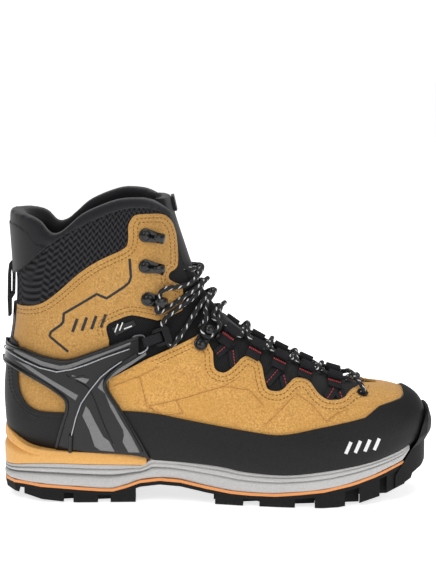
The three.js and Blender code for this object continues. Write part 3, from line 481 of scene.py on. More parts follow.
grain, weave = make_grain(), make_weave()
print("shared groups:", grain.name, weave.name)

# %% [markdown]
# ## Finishes: the materials
# A material here is two or three colours mixed by a mask, a roughness that the same mask moves a little,
# and a bump. Suede also has a soft sheen, because its nap catches light at the edges. Numbers that are
# the same all over sit on the shader itself.

# %% Materials
def material(name, dark, light, rough=(0.8, 0.9), grit=None, threads=None, zigzag=None, bump=0.2,
    depth=0.0004, metal=0.0, coat=0.0, sheen=0.0, contrast=(0.3, 0.7), wide=None, shine=0.5):
    """A surface whose colour follows its grain, or its weave where threads are given."""
    made = bpy.data.materials.new(name)
    made.use_nodes = True
    tree = made.node_tree
    shader = tree.nodes["Principled BSDF"]
    effect = tree.nodes.new("ShaderNodeGroup")
    effect.node_tree = weave if threads else grain
    for label, value in (("Fine", grit), ("Threads per metre", threads), ("Zigzag", zigzag)):
        if value:
            effect.inputs[label].default_value = value
    spread = tree.nodes.new("ShaderNodeMapRange")
    spread.inputs["From Min"].default_value, spread.inputs["From Max"].default_value = contrast
    tree.links.new(effect.outputs["Relief"], spread.inputs["Value"])
    mix = tree.nodes.new("ShaderNodeMix")
    mix.data_type = "RGBA"
    tree.links.new(spread.outputs[0], mix.inputs["Factor"])
    mix.inputs["A"].default_value, mix.inputs["B"].default_value = (*dark, 1), (*light, 1)
    colour = mix.outputs["Result"]
    if wide:
        broad = tree.nodes.new("ShaderNodeGroup")
        broad.node_tree = grain
        broad.inputs["Broad"].default_value = wide[0]
        over = tree.nodes.new("ShaderNodeMapRange")
        over.inputs["From Min"].default_value, over.inputs["From Max"].default_value = 0.35, 0.68
        tree.links.new(broad.outputs["Patch"], over.inputs["Value"])
        wash = tree.nodes.new("ShaderNodeMix")
        wash.data_type = "RGBA"
        tree.links.new(over.outputs[0], wash.inputs["Factor"])
        tree.links.new(colour, wash.inputs["A"])
        wash.inputs["B"].default_value = (*wide[1], 1)
        over.inputs["To Max"].default_value = 0.55
        colour = wash.outputs["Result"]
    tree.links.new(colour, shader.inputs["Base Color"])
    sheet = tree.nodes.new("ShaderNodeMapRange")
    sheet.inputs["To Min"].default_value, sheet.inputs["To Max"].default_value = rough
    tree.links.new(effect.outputs["Relief"], sheet.inputs["Value"])
    tree.links.new(sheet.outputs[0], shader.inputs["Roughness"])
    relief = tree.nodes.new("ShaderNodeBump")
    relief.inputs["Strength"].default_value, relief.inputs["Distance"].default_value = bump, depth
    tree.links.new(effect.outputs["Relief"], relief.inputs["Height"])
    tree.links.new(relief.outputs[0], shader.inputs["Normal"])
    shader.inputs["Metallic"].default_value = metal
    shader.inputs["Specular IOR Level"].default_value = shine
    shader.inputs["Coat Weight"].default_value = coat
    shader.inputs["Sheen Weight"].default_value = sheen
    return made


suede = material("suede", (0.40, 0.185, 0.035), (0.86, 0.49, 0.145), (0.85, 1.0), grit=820.0,
    bump=0.6, sheen=0.15, contrast=(0.25, 0.75), wide=(30.0, (0.60, 0.30, 0.066)))
# The ankle panels' suede is the vamp's suede made darker: painted shade, for the ankle turned away from the
# light.
ankle_suede_painted_shade = material("ankle_suede_painted_shade", (0.31, 0.145, 0.03), (0.66, 0.38, 0.115), (0.85, 1.0), grit=820.0,
    bump=0.6, sheen=0.15, contrast=(0.25, 0.75), wide=(30.0, (0.46, 0.235, 0.055)))
# A darker suede for the floor of the pressed lines: painted shade in their valleys.
valley_shade_suede = material("valley_shade_suede", (0.30, 0.14, 0.030), (0.56, 0.29, 0.080), (0.9, 1.0), grit=820.0,
    bump=0.4, contrast=(0.25, 0.75))
softshell = material("softshell", (0.006, 0.006, 0.007), (0.014, 0.014, 0.017), (0.62, 0.78), grit=2600.0,
    bump=0.12, sheen=0.2, shine=0.14)
woven = material("woven_textile", (0.004, 0.004, 0.005), (0.020, 0.020, 0.022), (0.7, 0.9), threads=1100.0,
    bump=0.5, sheen=0.15, shine=0.1)
mesh_weave = material("zigzag_mesh", (0.003, 0.003, 0.004), (0.034, 0.034, 0.038), (0.5, 0.85),
    threads=420.0, zigzag=0.9, bump=0.8, depth=0.0008, shine=0.1)
lining_cloth = material("lining_cloth", (0.012, 0.012, 0.014), (0.03, 0.03, 0.034), (0.85, 0.95),
    threads=700.0, bump=0.35)
webbing = material("webbing", (0.006, 0.006, 0.007), (0.03, 0.03, 0.033), (0.6, 0.8), threads=1500.0,
    bump=0.5, shine=0.12)
rand_rubber = material("rand_rubber", (0.010, 0.0095, 0.010), (0.017, 0.0165, 0.017), (0.46, 0.6),
    grit=900.0, bump=0.1, shine=0.2)
sole_rubber = material("sole_rubber", (0.004, 0.004, 0.0045), (0.010, 0.010, 0.011), (0.6, 0.8), grit=700.0,
    bump=0.2, shine=0.22)
cage_plastic = material("cage_plastic", (0.004, 0.004, 0.0045), (0.009, 0.009, 0.010), (0.24, 0.36),
    grit=1200.0, bump=0.06, coat=0.15, shine=0.3)
silver_print = material("silver_print", (0.13, 0.13, 0.134), (0.20, 0.20, 0.204), (0.35, 0.5), grit=1500.0,
    bump=0.05)
foam_grey = material("foam_grey", (0.44, 0.435, 0.43), (0.54, 0.535, 0.53), (0.55, 0.7), grit=900.0,
    bump=0.12)
inlay_orange = material("inlay_orange", (0.72, 0.27, 0.075), (0.84, 0.34, 0.11), (0.45, 0.6), bump=0.08)
wedge_orange = material("wedge_orange", (0.70, 0.36, 0.09), (0.80, 0.43, 0.125), (0.5, 0.65), grit=700.0,
    bump=0.12)
dark_metal = material("dark_metal", (0.008, 0.008, 0.009), (0.022, 0.022, 0.024), (0.16, 0.28),
    grit=500.0, bump=0.04, metal=0.45, coat=0.3, shine=0.4)
steel = material("brushed_steel", (0.26, 0.265, 0.28), (0.42, 0.43, 0.45), (0.22, 0.34), grit=900.0,
    bump=0.05, metal=1.0)
white_print = material("white_print", (0.72, 0.72, 0.72), (0.86, 0.86, 0.86), (0.55, 0.7), bump=0.05)
black_print = material("black_print", (0.008, 0.008, 0.009), (0.016, 0.016, 0.018), (0.6, 0.75), bump=0.08)
tan_thread = material("tan_thread", (0.15, 0.07, 0.017), (0.26, 0.13, 0.033), (0.6, 0.8), bump=0.3)
black_thread = material("black_thread", (0.008, 0.008, 0.009), (0.02, 0.02, 0.022), (0.5, 0.7), bump=0.3)
red_thread = material("red_thread", (0.45, 0.03, 0.035), (0.62, 0.07, 0.07), (0.5, 0.7), bump=0.3)
board = material("pressed_board", (0.42, 0.30, 0.16), (0.52, 0.38, 0.22), (0.8, 0.95), bump=0.2)
felt = material("felt", (0.06, 0.06, 0.064), (0.11, 0.11, 0.115), (0.9, 1.0), grit=1400.0, bump=0.4)
print("materials:", len(bpy.data.materials))

# %% [markdown]
# ## Places on the boot
# Stitches, hooks and prints are drawn on the side view, so each needs the point of the last that is seen
# there. A search tree over a fine grid gives a close point, and a few Newton steps make it exact.

# %% Side-view places
grid_u, grid_p = (a.ravel() for a in np.meshgrid(np.arange(0.25, 17.01, 0.05), np.arange(0.03, 3.12, 0.02),
    indexing="ij"))
grid_points = last(grid_u, grid_p)
finder = KDTree(len(grid_points))
for i, q in enumerate(grid_points):
    finder.insert((q[0], 0, q[2]), i)
finder.balance()


def side_place(points, side=-1):
    """u and phi of the last under side-view points (x, z)."""
    aim = np.array(points, float).reshape(-1, 2)
    near = [finder.find((x, 0, z))[1] for x, z in aim]
    u, p = grid_u[near].copy(), grid_p[near].copy()
    e = 1e-3
    for _ in range(5):
        miss = last(u, p)[:, [0, 2]] - aim
        du = (last(u + e, p) - last(u - e, p))[:, [0, 2]] / (2 * e)
        dp = (last(u, p + e) - last(u, p - e))[:, [0, 2]] / (2 * e)
        det = du[:, 0] * dp[:, 1] - du[:, 1] * dp[:, 0]
        det = np.where(np.abs(det) < 1, np.where(det < 0, -1, 1), det)
        u -= np.clip((miss[:, 0] * dp[:, 1] - miss[:, 1] * dp[:, 0]) / det, -0.05, 0.05)
        p -= np.clip((du[:, 0] * miss[:, 1] - du[:, 1] * miss[:, 0]) / det, -0.02, 0.02)
        u, p = np.clip(u, 0.05, TOP), np.clip(p, 0.01, 3.13)
    return u, (p if side < 0 else 2 * np.pi - p)


def on_side(points, side, d):
    return skin(*side_place(points, side), d)


class Spot:
    """A place on the boot with three directions: ahead, up and out."""

    def __init__(self, u, phi, front=(1.0, 0.0, 0.0)):
        self.origin, self.out, front = last(u, phi), last_normal(u, phi), np.array(front)
        up = np.cross(self.out, front)
        up /= np.linalg.norm(up)
        self.up = up if up[2] > 0 else -up
        ahead = np.cross(self.up, self.out)
        self.ahead = ahead if ahead @ front > 0 else -ahead

    def turned(self, angle):
        c, s = math.cos(angle), math.sin(angle)
        self.ahead, self.up = self.ahead * c + self.up * s, self.up * c - self.ahead * s
        return self

    def at(self, a, u, n):
        return self.origin + self.ahead * a + self.up * u + self.out * n


def spot(x, z, side, angle=0.0):
    u, phi = side_place([(x, z)], side)
    return Spot(u[0], phi[0]).turned(angle)


print("search tree:", len(grid_points), "points")

# %% [markdown]
# ## Thread, cord and edge beads
# A round cord is a circle swept along a path without twisting. Stitches are short capsules laid on the
# surface, because real thread stands proud of the leather and throws a small shadow that paint can't.

# %% Sweep and stitch helpers
def smooth_path(points, steps=4, closed=False):
    p = np.array(points, float)
    p = np.vstack([p[-1], p, p[:2]]) if closed else np.vstack([2 * p[0] - p[1], p, 2 * p[-1] - p[-2]])
    made = []
    for k in range(1, len(p) - 2):
        a, b, c, d = p[k - 1 : k + 3]
        t0 = 0.0
        t1 = t0 + max(np.linalg.norm(b - a), 1e-6) ** 0.5
        t2 = t1 + max(np.linalg.norm(c - b), 1e-6) ** 0.5
        t3 = t2 + max(np.linalg.norm(d - c), 1e-6) ** 0.5
        for s in np.arange(steps) / steps:
            t = t1 + (t2 - t1) * s
            a1 = a * (t1 - t) / (t1 - t0) + b * (t - t0) / (t1 - t0)
            a2 = b * (t2 - t) / (t2 - t1) + c * (t - t1) / (t2 - t1)
            a3 = c * (t3 - t) / (t3 - t2) + d * (t - t2) / (t3 - t2)
            b1 = a1 * (t2 - t) / (t2 - t0) + a2 * (t - t0) / (t2 - t0)
            b2 = a2 * (t3 - t) / (t3 - t1) + a3 * (t - t1) / (t3 - t1)
            made.append(b1 * (t2 - t) / (t2 - t1) + b2 * (t - t1) / (t2 - t1))
    if not closed:
        made.append(p[-2])
    return np.array(made)


def sweep(name, path, radius, sides=10):
    """A round cord along a path; its UV runs round the cord and along it in metres."""
    path = np.array(path, float)
    count = len(path)
    ahead = np.roll(path, -1, 0) - np.roll(path, 1, 0)
    ahead[0], ahead[-1] = path[1] - path[0], path[-1] - path[-2]
    ahead /= np.linalg.norm(ahead, axis=1, keepdims=True)
    n = np.cross(ahead[0], [0, 0, 1] if abs(ahead[0][2]) < 0.9 else [1, 0, 0])
    turn = 2 * np.pi * np.arange(sides) / sides
    points, faces = [], []
    for i in range(count):
        n = n - ahead[i] * (n @ ahead[i])
        n = n / np.linalg.norm(n)
        b = np.cross(ahead[i], n)
        points += [path[i] + n * math.cos(a) * radius + b * math.sin(a) * radius for a in turn]
    for i in range(count - 1):
        for j in range(sides):
            m = (j + 1) % sides
            faces.append((i * sides + j, i * sides + m, (i + 1) * sides + m, (i + 1) * sides + j))
    faces += [tuple(range(sides))[::-1], tuple(range((count - 1) * sides, count * sides))]
    cord = mesh_object(name, points, faces)
    run = np.concatenate([[0], np.cumsum(np.linalg.norm(np.diff(path, axis=0), axis=1))]) / 1000
    wrap = cord.data.uv_layers.new(name="along")
    for face in cord.data.polygons:
        for corner in face.loop_indices:
            i, j = divmod(cord.data.loops[corner].vertex_index, sides)
            wrap.data[corner].uv = (j / sides, run[i])
    return cord


def beside(line, by):
    """The line moved sideways, to its left for a positive value."""
    p = np.array(line, float)
    t = np.gradient(p, axis=0)
    t /= np.maximum(np.linalg.norm(t, axis=1, keepdims=True), 1e-9)
    return p + np.stack([-t[:, 1], t[:, 0]], 1) * by


def spaced(line, pitch):
    """Points and directions at an even pitch along a side-view line."""
    p = np.array(line, float)
    run = np.concatenate([[0], np.cumsum(np.linalg.norm(np.diff(p, axis=0), axis=1))])
    at = np.arange(pitch / 2, run[-1], pitch)
    here = np.stack([np.interp(at, run, p[:, k]) for k in (0, 1)], 1)
    soon = np.stack([np.interp(at + 0.2, run, p[:, k]) for k in (0, 1)], 1)
    return here, (soon - here) / np.maximum(np.linalg.norm(soon - here, axis=1, keepdims=True), 1e-9)


def capsules(name, a, b, radius, sides=6):
    """One mesh of short round-ended threads from points a to points b."""
    a, b = np.array(a, float), np.array(b, float)
    axis = b - a
    long = np.linalg.norm(axis, axis=1, keepdims=True)
    axis = axis / np.maximum(long, 1e-6)
    n = np.cross(axis, np.where(np.abs(axis[:, 2:3]) < 0.9, [[0, 0, 1.0]], [[1.0, 0, 0]]))
    n /= np.linalg.norm(n, axis=1, keepdims=True)
    m = np.cross(axis, n)
    points, faces = [], []
    for i in range(len(a)):
        first = len(points)
        for along, r in ((0, 0.35), (0.14, 0.9), (0.5, 1), (0.86, 0.9), (1, 0.35)):
            centre = a[i] + axis[i] * long[i] * along
            for j in range(sides):
                t = 2 * math.pi * j / sides
                points.append(centre + (n[i] * math.cos(t) + m[i] * math.sin(t)) * radius * r)
        for k in range(4):
            for j in range(sides):
                q = (j + 1) % sides
                low, high = first + k * sides, first + (k + 1) * sides
                faces.append((low + j, low + q, high + q, high + j))
        faces.append(tuple(first + j for j in range(sides))[::-1])
        faces.append(tuple(first + 4 * sides + j for j in range(sides)))
    return mesh_object(name, points, faces)


def stitches(name, rows, d, thread, slot_name, pitch=2.6, long=1.7, radius=0.32):
    """Rows of stitches on side-view lines, laid at distance d on both sides."""
    starts, ends = [], []
    for side, _ in SIDES:
        for line in rows:
            here, way = spaced(line, pitch)
            starts.append(on_side(here - way * long / 2, side, d))
            ends.append(on_side(here + way * long / 2, side, d))
    row = capsules(name, np.vstack(starts), np.vstack(ends), radius)
    return finish_piece(row, name, thread, slot_name=slot_name, angle=60)


def band_on(name, line, width, d_in, d_out, material_used, slot_name, side=-1):
    """A flat print or moulded stripe of that width along a side-view line."""
    p = np.array(line, float)
    left, right = beside(p, width / 2), beside(p, -width / 2)
    count = len(p)
    corners = ((left, d_out), (right, d_out), (right, d_in), (left, d_in))
    points = np.stack([on_side(edge, side, d) for edge, d in corners], 1).reshape(-1, 3)
    faces = [(0, 1, 2, 3), (4 * count - 1, 4 * count - 2, 4 * count - 3, 4 * count - 4)]
    for i in range(count - 1):
        for j in range(4):
            m = (j + 1) % 4
            faces.append((4 * i + j, 4 * i + 4 + j, 4 * i + 4 + m, 4 * i + m))
    strip = mesh_object(name, points, faces)
    outward(strip)
    return finish_piece(strip, name, material_used, slot_name=slot_name)


def fine(line, step=1.2):
    """A polyline with extra points, so that a print follows the curve under it."""
    p = np.array(line, float)
    made = []
    for a, b in zip(p[:-1], p[1:]):
        count = max(1, int(np.linalg.norm(b - a) / step))
        made += [a + (b - a) * i / count for i in range(count)]
    return np.array(made + [p[-1]])


print("helpers ready")

# %% [markdown]
# ## Soft upper: textile base, suede and ankle panels
# The woven base lies under everything. The suede vamp has scallops along the lacing, and the ankle panels
# meet behind the heel strap. Each is its layer of the last, cut to its pattern.

# %% Vamp, ankle panels, side textile, collar mesh
heel_region = smooth_line([(-12, 104), (20, 104), (60, 92), (84, 70)]) + [(92, 0), (-12, 0)]
toe_region = [(330, 0), (262, 0)] + smooth_line([(258, 40), (262, 66), (274, 90)]) + [(330, 90)]

vamp = cut(between(0, SUEDE_OUT), throat, keep=True)
vamp = cut(cut(vamp, through(vamp_region), "INTERSECT"), through(ankle_region, 0, GAP))
hem = [p for p in lower(ball_top, -4) if p[0] > 108]
vamp = cut(vamp, through([(106, -10), (106, hem[0][1]), *hem, (330, hem[-1][1]), (330, -10)]))
finish_piece(vamp, "suede_vamp", suede, "vamp_suede", slot_name="suede")

mesh_panel = cut(cut(between(0, SUEDE_OUT), throat, keep=True), through(mesh_region), "INTERSECT")
mesh_panel = largest(cut(mesh_panel, through(ankle_region, 0, GAP)))
finish_piece(mesh_panel, "collar_mesh_panel", mesh_weave, "collar_mesh", slot_name="collar_mesh_fabric")

for side, name in SIDES:
    panel = cut(between(0, SUEDE_OUT), throat, keep=True)
    panel = largest(cut(panel, through(ankle_region, side), "INTERSECT"))
    # The ankle panels get the darker suede, which is painted shade.
    finish_piece(panel, "suede_ankle_" + name, ankle_suede_painted_shade, "ankle_panel_" + name, slot_name="suede")
    base = cut(between(MID_IN, MID_OUT), throat, keep=True)
    base = cut(base, through(below(lower(collar_seam, GAP)), side), "INTERSECT")
    base = cut(cut(base, through(heel_region, 0, GAP)), through(toe_region, 0, GAP))
    finish_piece(largest(base), "woven_base_" + name, woven, "side_textile_" + name,
        slot_name="upper_fabric")

# %% [markdown]
# ## Rubber: rand and heel cap
# The rand is one band of smooth rubber, drawn up round the foot and cemented over the suede.

# %% Rand and heel cap
rand = trimmed(RUBBER_IN, RUBBER_OUT, rand_region)
rand = cut(rand, through(wall_foot + [(294, 32), (340, 32), (340, 260), (-12, 260)]), "INTERSECT")
rand = largest(cut(cut(rand, through(mid_region, 0, GAP)), through(wedge_region, 0, GAP)))
finish_piece(rand, "rubber_rand", rand_rubber, "toe_rand", slot_name="black_rubber")

above_sole = wall_foot + [(298, 48), (310, 50), (340, 60), (340, 260), (-12, 260)]
cap = trimmed(RUBBER_IN, RUBBER_OUT, heel_cap_region)
cap = cut(cap, through(above_sole), "INTERSECT")
finish_piece(cap, "rubber_heel_cap", rand_rubber, "heel_cap", slot_name="black_rubber")

# %% [markdown]
# ## The padded collar
# The collar is a foam roll under smooth softshell. It starts as two cut layers, is turned into one even
# skin with a voxel remesh, puffed outwards most at mid height, and smoothed, so that its rim is round
# like a cushion's.

# %% Collar roll, heel pad and tongue
def soften(thing, voxel, puff, rounds):
    """Gives a cut layer one even skin, puffs it outwards and smooths it."""
    remesh = thing.modifiers.new("even", "REMESH")
    remesh.mode, remesh.voxel_size = "VOXEL", voxel
    mesh = applied(thing).data
    co = np.empty(len(mesh.vertices) * 3)
    normal = np.empty(len(mesh.vertices) * 3)
    mesh.vertices.foreach_get("co", co)
    mesh.vertex_normals.foreach_get("vector", normal)
    co, normal = co.reshape(-1, 3), normal.reshape(-1, 3)
    co = co + normal * puff(co, normal)[:, None]
    mesh.vertices.foreach_set("co", co.ravel())
    calm = thing.modifiers.new("calm", "SMOOTH")
    calm.factor, calm.iterations = 0.6, rounds
    return applied(thing)


top_line, seam_line = np.array(collar_top), np.array(collar_seam)


def collar_puff(co, normal):
    high = np.interp(co[:, 0], top_line[:, 0], top_line[:, 1])
    low = np.interp(co[:, 0], seam_line[:, 0], seam_line[:, 1])
    t = np.clip((co[:, 2] - low) / np.maximum(high - low, 1), 0, 1)
    return 1.7 * np.sin(np.pi * t) ** 0.7 + 0.5


roll_in = trimmed(LINING_IN, LINING_OUT + 0.5, list(collar_top) + lower(collar_top, 11)[::-1])
roll_out = trimmed(MID_IN, PAD_OUT, list(collar_top) + list(collar_seam)[::-1])
roll = cut(cut(roll_in, roll_out, "UNION"), throat, keep=True)
roll = soften(largest(roll), 1.3, collar_puff, 9)
finish_piece(roll, "padded_collar", softshell, "collar_roll", slot_name="softshell", angle=80)

pad_region = [(-12, 150), (3, 153.5), (14.5, 162.6), (34.5, 181), (28.3, 183.5), (21, 191.2), (13, 194.6),
    (0, 196), (-12, 196.5)]
pad = trimmed(PAD_OUT - 0.6, PAD_OUT + 2.0, pad_region)
pad = soften(pad, 0.8, lambda co, normal: np.zeros(len(co)) + 0.25, 6)
finish_piece(pad, "padded_heel_patch", softshell, "heel_pad", slot_name="softshell", angle=80)

tongue_slot = slot(-0.6, 3.51)
tongue = cut(between(LINING_IN, -0.8), tongue_slot, "INTERSECT")
tongue = cut(tongue, through([(60, 212), (160, 212), (400, 212), (400, -10), (60, -10)]), "INTERSECT")
tongue = soften(largest(tongue), 1.3, lambda co, normal: np.zeros(len(co)) + 0.2, 4)
finish_piece(tongue, "padded_tongue", softshell, "tongue", slot_name="tongue_fabric", angle=80)

lining = trimmed(LINING_IN, LINING_OUT, below(lower(collar_top, 11.3)))
lining = largest(cut(lining, throat, keep=True))
finish_piece(lining, "bootie_lining", lining_cloth, "lining_bootie", slot_name="lining_fabric")

# %% [markdown]
# ## Ankle cage
# The cage is moulded in one piece: a flat band round the heel, a wide foot down to the sole, raised rims
# along every edge and painted recesses between them. The rims are beads swept along the band's own
# outline.

# %% Cage, rims and stripes
cage_region = smooth_line([(-12, 108.5), (10, 108.5), (18, 108), (30, 104.6), (43, 102.5), (50, 102.8),
    (60, 106), (75, 111.4), (89, 116.6), (97.5, 119)]) + [(97.5, 107.3)]
cage_region += smooth_line([(97.5, 105), (87, 98), (78.2, 90.3), (75.6, 85), (78, 79)])
cage_region += [(86.7, 65.4), (98.3, 45.2), (108, 25), (37, 25)]
cage_region += smooth_line([(38, 33), (42.2, 52), (44.3, 59.5), (46.5, 66.7), (46, 73), (41.7, 77.7),
    (29.7, 85), (12, 93.2), (-12, 95)])
cage = trimmed(RUBBER_IN, CAGE_OUT - 0.5, cage_region)
cage = cut(cage, trimmed(RUBBER_IN - GAP, RUBBER_OUT + GAP, rand_region, 0, GAP))
cage = cut(cage, trimmed(RUBBER_IN - GAP, RUBBER_OUT + GAP, heel_cap_region, 0, GAP))
cage = largest(cut(cage, through(above_sole), "INTERSECT"))
finish_piece(cage, "moulded_cage", cage_plastic, "ankle_cage", slot_name="cage_plastic")

upper_edge = smooth_line([(3, 107), (18, 106.4), (30, 103), (43, 101), (50, 101.2), (60, 104.4),
    (75, 109.8), (89, 115), (96.5, 117.6)])
rear_edge = smooth_line([(3, 96.4), (12, 94.8), (29.7, 86.8), (41.7, 79.4), (47.6, 73.8), (48, 66.7),
    (45.9, 59.5), (43.8, 52), (40.4, 40.5)])
front_edge = smooth_line([(96.5, 106), (86, 99.4), (76.8, 91), (74, 85), (76.6, 78), (85.2, 64.6),
    (96.8, 44.4), (100, 38.2)])
inner_edge = smooth_line([(92, 112.2), (75.3, 106), (55.7, 97.8), (47.8, 94), (50, 90), (61, 91)])
foot_edge = smooth_line([(54, 88), (62, 83), (66, 76), (72, 60), (78, 46), (82, 38.2)])
for side, name in SIDES:
    for i, (line, r) in enumerate(((upper_edge, 1.25), (rear_edge, 1.35), (front_edge, 1.35),
        (inner_edge, 0.8), (foot_edge, 0.9))):
        bead = sweep("bead", on_side(spaced(line, 1.5)[0], side, CAGE_OUT - 0.5), r, 8)
        finish_piece(bead, f"cage_rim_{i + 1}_{name}", cage_plastic, slot_name="cage_plastic", angle=60)

stripes = [[(9.4, 108.3), (19.6, 104.6), (30.9, 100.5), (42.9, 98), (47.8, 98.6), (55.7, 101.3),
    (75.3, 109.8), (92, 116.2), (92, 113.4), (75.8, 106.6), (56.2, 98.6), (47.8, 95.6), (42, 95.4),
    (30, 97.6), (18.8, 101.8), (9.4, 105)],
    [(9.7, 99.5), (15.3, 97), (29.7, 88.8), (43.7, 80.6),
    (53.5, 73.9), (55.5, 77.5), (46, 82.8), (31.9, 90.6), (21.1, 96.7)],
    [(51.2, 91.8), (63.4, 89), (60.9, 85.9), (51.2, 90.3)],
    [(102.5, 107.7), (88.9, 99.4), (78.1, 93.1), (72.2, 88.1), (69.2, 83.2), (74.1, 79.2), (77.9, 69.3),
    (86.6, 53.3), (87.1, 49.2), (86.1, 44.5), (90.1, 36.5), (98.6, 36.5), (95.8, 43), (86.2, 59),
    (78.4, 73.2), (74.2, 84.1), (77.6, 89.7), (88.6, 96.6), (102.9, 106)],
    [(60.8, 70), (58.3, 63), (63, 52.9), (66.6, 40.6), (70.4, 37.6), (82.2, 36.6), (79.6, 42.7),
    (72.8, 47.9), (68, 57.1), (63.2, 67.1)]]
for side, name in SIDES:
    for i, outline in enumerate(stripes):
        stripe = trimmed(CAGE_OUT - 1.1, CAGE_OUT - 0.2, outline, side)
        finish_piece(largest(stripe), f"cage_stripe_{i + 1}_{name}", silver_print, slot_name="cage_plastic")

# %% [markdown]
# ## Seams
# Double rows run inside every suede edge, and the collar's seam is one row of black thread.

# %% Stitch rows
vamp_edge = [p for p in vamp_top if p[0] > 80]
vamp_rows = [beside(fine(vamp_edge, 0.8), -3.0)[3:-16], beside(fine(vamp_edge, 0.8), -6.0)[6:-18]]
stitches("vamp_seam", vamp_rows, SUEDE_OUT + 0.02, tan_thread, "suede")
ankle_edge = fine(list(ankle_top)[5:] + ankle_front, 0.8)
ankle_rows = [beside(ankle_edge, -3.0)[2:-3], beside(ankle_edge, -5.8)[2:-6]]
stitches("ankle_seam", ankle_rows, SUEDE_OUT + 0.02, tan_thread, "suede")
stitches("collar_seam", [lower(collar_seam, 2.6)[4:-14]], SUEDE_OUT + 0.1, black_thread,
    "collar_mesh_fabric", pitch=3.2, long=2.0, radius=0.26)
cap_edge = [p for p in heel_cap_top if p[0] > 11]
cap_rows = [beside(fine(cap_edge, 0.8), s)[2:-2] for s in (-2.0, -4.4)]
stitches("heel_cap_seam", cap_rows, RUBBER_OUT + 0.02, black_thread, "black_rubber")

# %% [markdown]
# ## Foam walls of the sole
# The grey midsole and the orange wedge are moulded with rounded lips and long grooves. Each wall is one
# section swept round the sole's plan: the section's height follows the pattern lines, and its bulges and
# grooves are moved in and out from the plan. A boolean could cut the grooves too, but would leave hard
# edges.

# %% Swept foam walls
PLAN = [(0, 0), (2, -14), (9, -26), (28, -36.5), (55, -39), (80, -38), (110, -37), (140, -41), (170, -48),
    (200, -53), (225, -55), (250, -49), (270, -39), (286, -27), (297, -12), (301, 8), (298, 25), (287, 38),
    (270, 43.5), (250, 46), (225, 47), (200, 45.5), (170, 38), (140, 31), (110, 30), (80, 33.5), (55, 36.5),
    (28, 35.5), (9, 25), (2, 14)]


def plan_ring():
    """Points and outward directions round the sole, every 2 mm or so."""
    loop = smooth_path([(x, y, 0) for x, y in PLAN], 8, closed=True)[:, :2]
    way = np.roll(loop, -1, 0) - np.roll(loop, 1, 0)
    way /= np.linalg.norm(way, axis=1, keepdims=True)
    return loop, np.stack([way[:, 1], -way[:, 0]], 1)


def level(line, x):
    p = np.array(sorted(line))
    return np.interp(x, p[:, 0], p[:, 1])


def foam_wall(name, low_line, high_line, section, last_x, inward=9.0):
    """A wall round the heel, as far forward as last_x; its section gives height shares and bulges."""
    loop, out = plan_ring()
    if out[0] @ (loop[0] - loop.mean(0)) < 0:
        out = -out
    keep = loop[:, 0] <= last_x
    first = np.flatnonzero(keep & ~np.roll(keep, 1))[0]
    order = (first + np.arange(keep.sum())) % len(loop)
    loop, out = loop[order], out[order]
    rings = []
    for (x, y), (nx, ny) in zip(loop, out):
        lo, hi = level(low_line, x), level(high_line, x)
        ring = [(x - nx * inward, y - ny * inward, lo)]
        ring += [(x + nx * d, y + ny * d, lo + (hi - lo) * t) for t, d in section(x)]
        ring += [(x - nx * inward, y - ny * inward, hi)]
        rings.append(ring)
    return ring_solid(name, rings)


def arch(t, low, high, power):
    """A rounded bulge between two height shares."""
    return np.sin(np.pi * np.clip((t - low) / (high - low), 0, 1)) ** power


def groove(t, at, half, deep):
    return -deep * np.exp(-(((t - at) / half) ** 2))


def midsole_section(x):
    """Two lips with a long groove at the heel, and two fine lines in the forefoot's wall."""
    heel = float(np.clip((128 - x) / 45, 0, 1))
    t = np.linspace(0, 1, 41)
    lips = arch(t, 0, 0.47, 0.6) + 0.7 * arch(t, 0.55, 1, 0.6)
    rear = lips + groove(t, 0.52, 0.05, 3.4) + groove(t, 0.8, 0.035, 1.8)
    fore = 0.8 * arch(t, 0, 1, 0.4) + groove(t, 0.5, 0.035, 1.6) + groove(t, 0.76, 0.03, 1.2)
    return list(zip(t, heel * rear + (1 - heel) * fore - 1.0))


def wedge_section(x):
    """A plump wall; at the back a pinch parts the upper lip from the roll below it."""
    t = np.linspace(0, 1, 25)
    rear = float(np.clip((30 - x) / 24, 0, 1))
    return list(zip(t, 0.9 * arch(t, 0, 1, 0.5) - 0.9 - 0.5 * t + groove(t, 0.62, 0.07, 2.6 * rear)))


mid_low = lower(inlay_top, -GAP) + [(283, 28.3), (291, 39)]
mid_high = [p for p in heel_split if p[0] < 101] + lower(ball_top, -1.3)
midsole = foam_wall("midsole", mid_low, mid_high, midsole_section, last_x=289.0)
finish_piece(midsole, "foam_midsole", foam_grey, "midsole", slot_name="midsole_foam", angle=50)
wedge = foam_wall("wedge", lower(heel_split, -GAP), wedge_top, wedge_section, last_x=103.0)
finish_piece(wedge, "foam_heel_wedge", wedge_orange, "heel_wedge", slot_name="wedge_foam", angle=50)

# %% [markdown]
# ## Tread behind the edge blocks
# Low bars cross the sole behind the gaps between the edge blocks, a little in from the rim, so that no
# daylight shows through the tread. At the toe the rubber turns up over the foam as one thick block with a
# notch in it.

# %% Centre blocks and toe block
def upright(line, z0, z1):
    """A plan outline raised between two heights."""
    post = prism("post", [(x, y, z0) for x, y in line], [(x, y, z1) for x, y in line])
    outward(post)
    return post


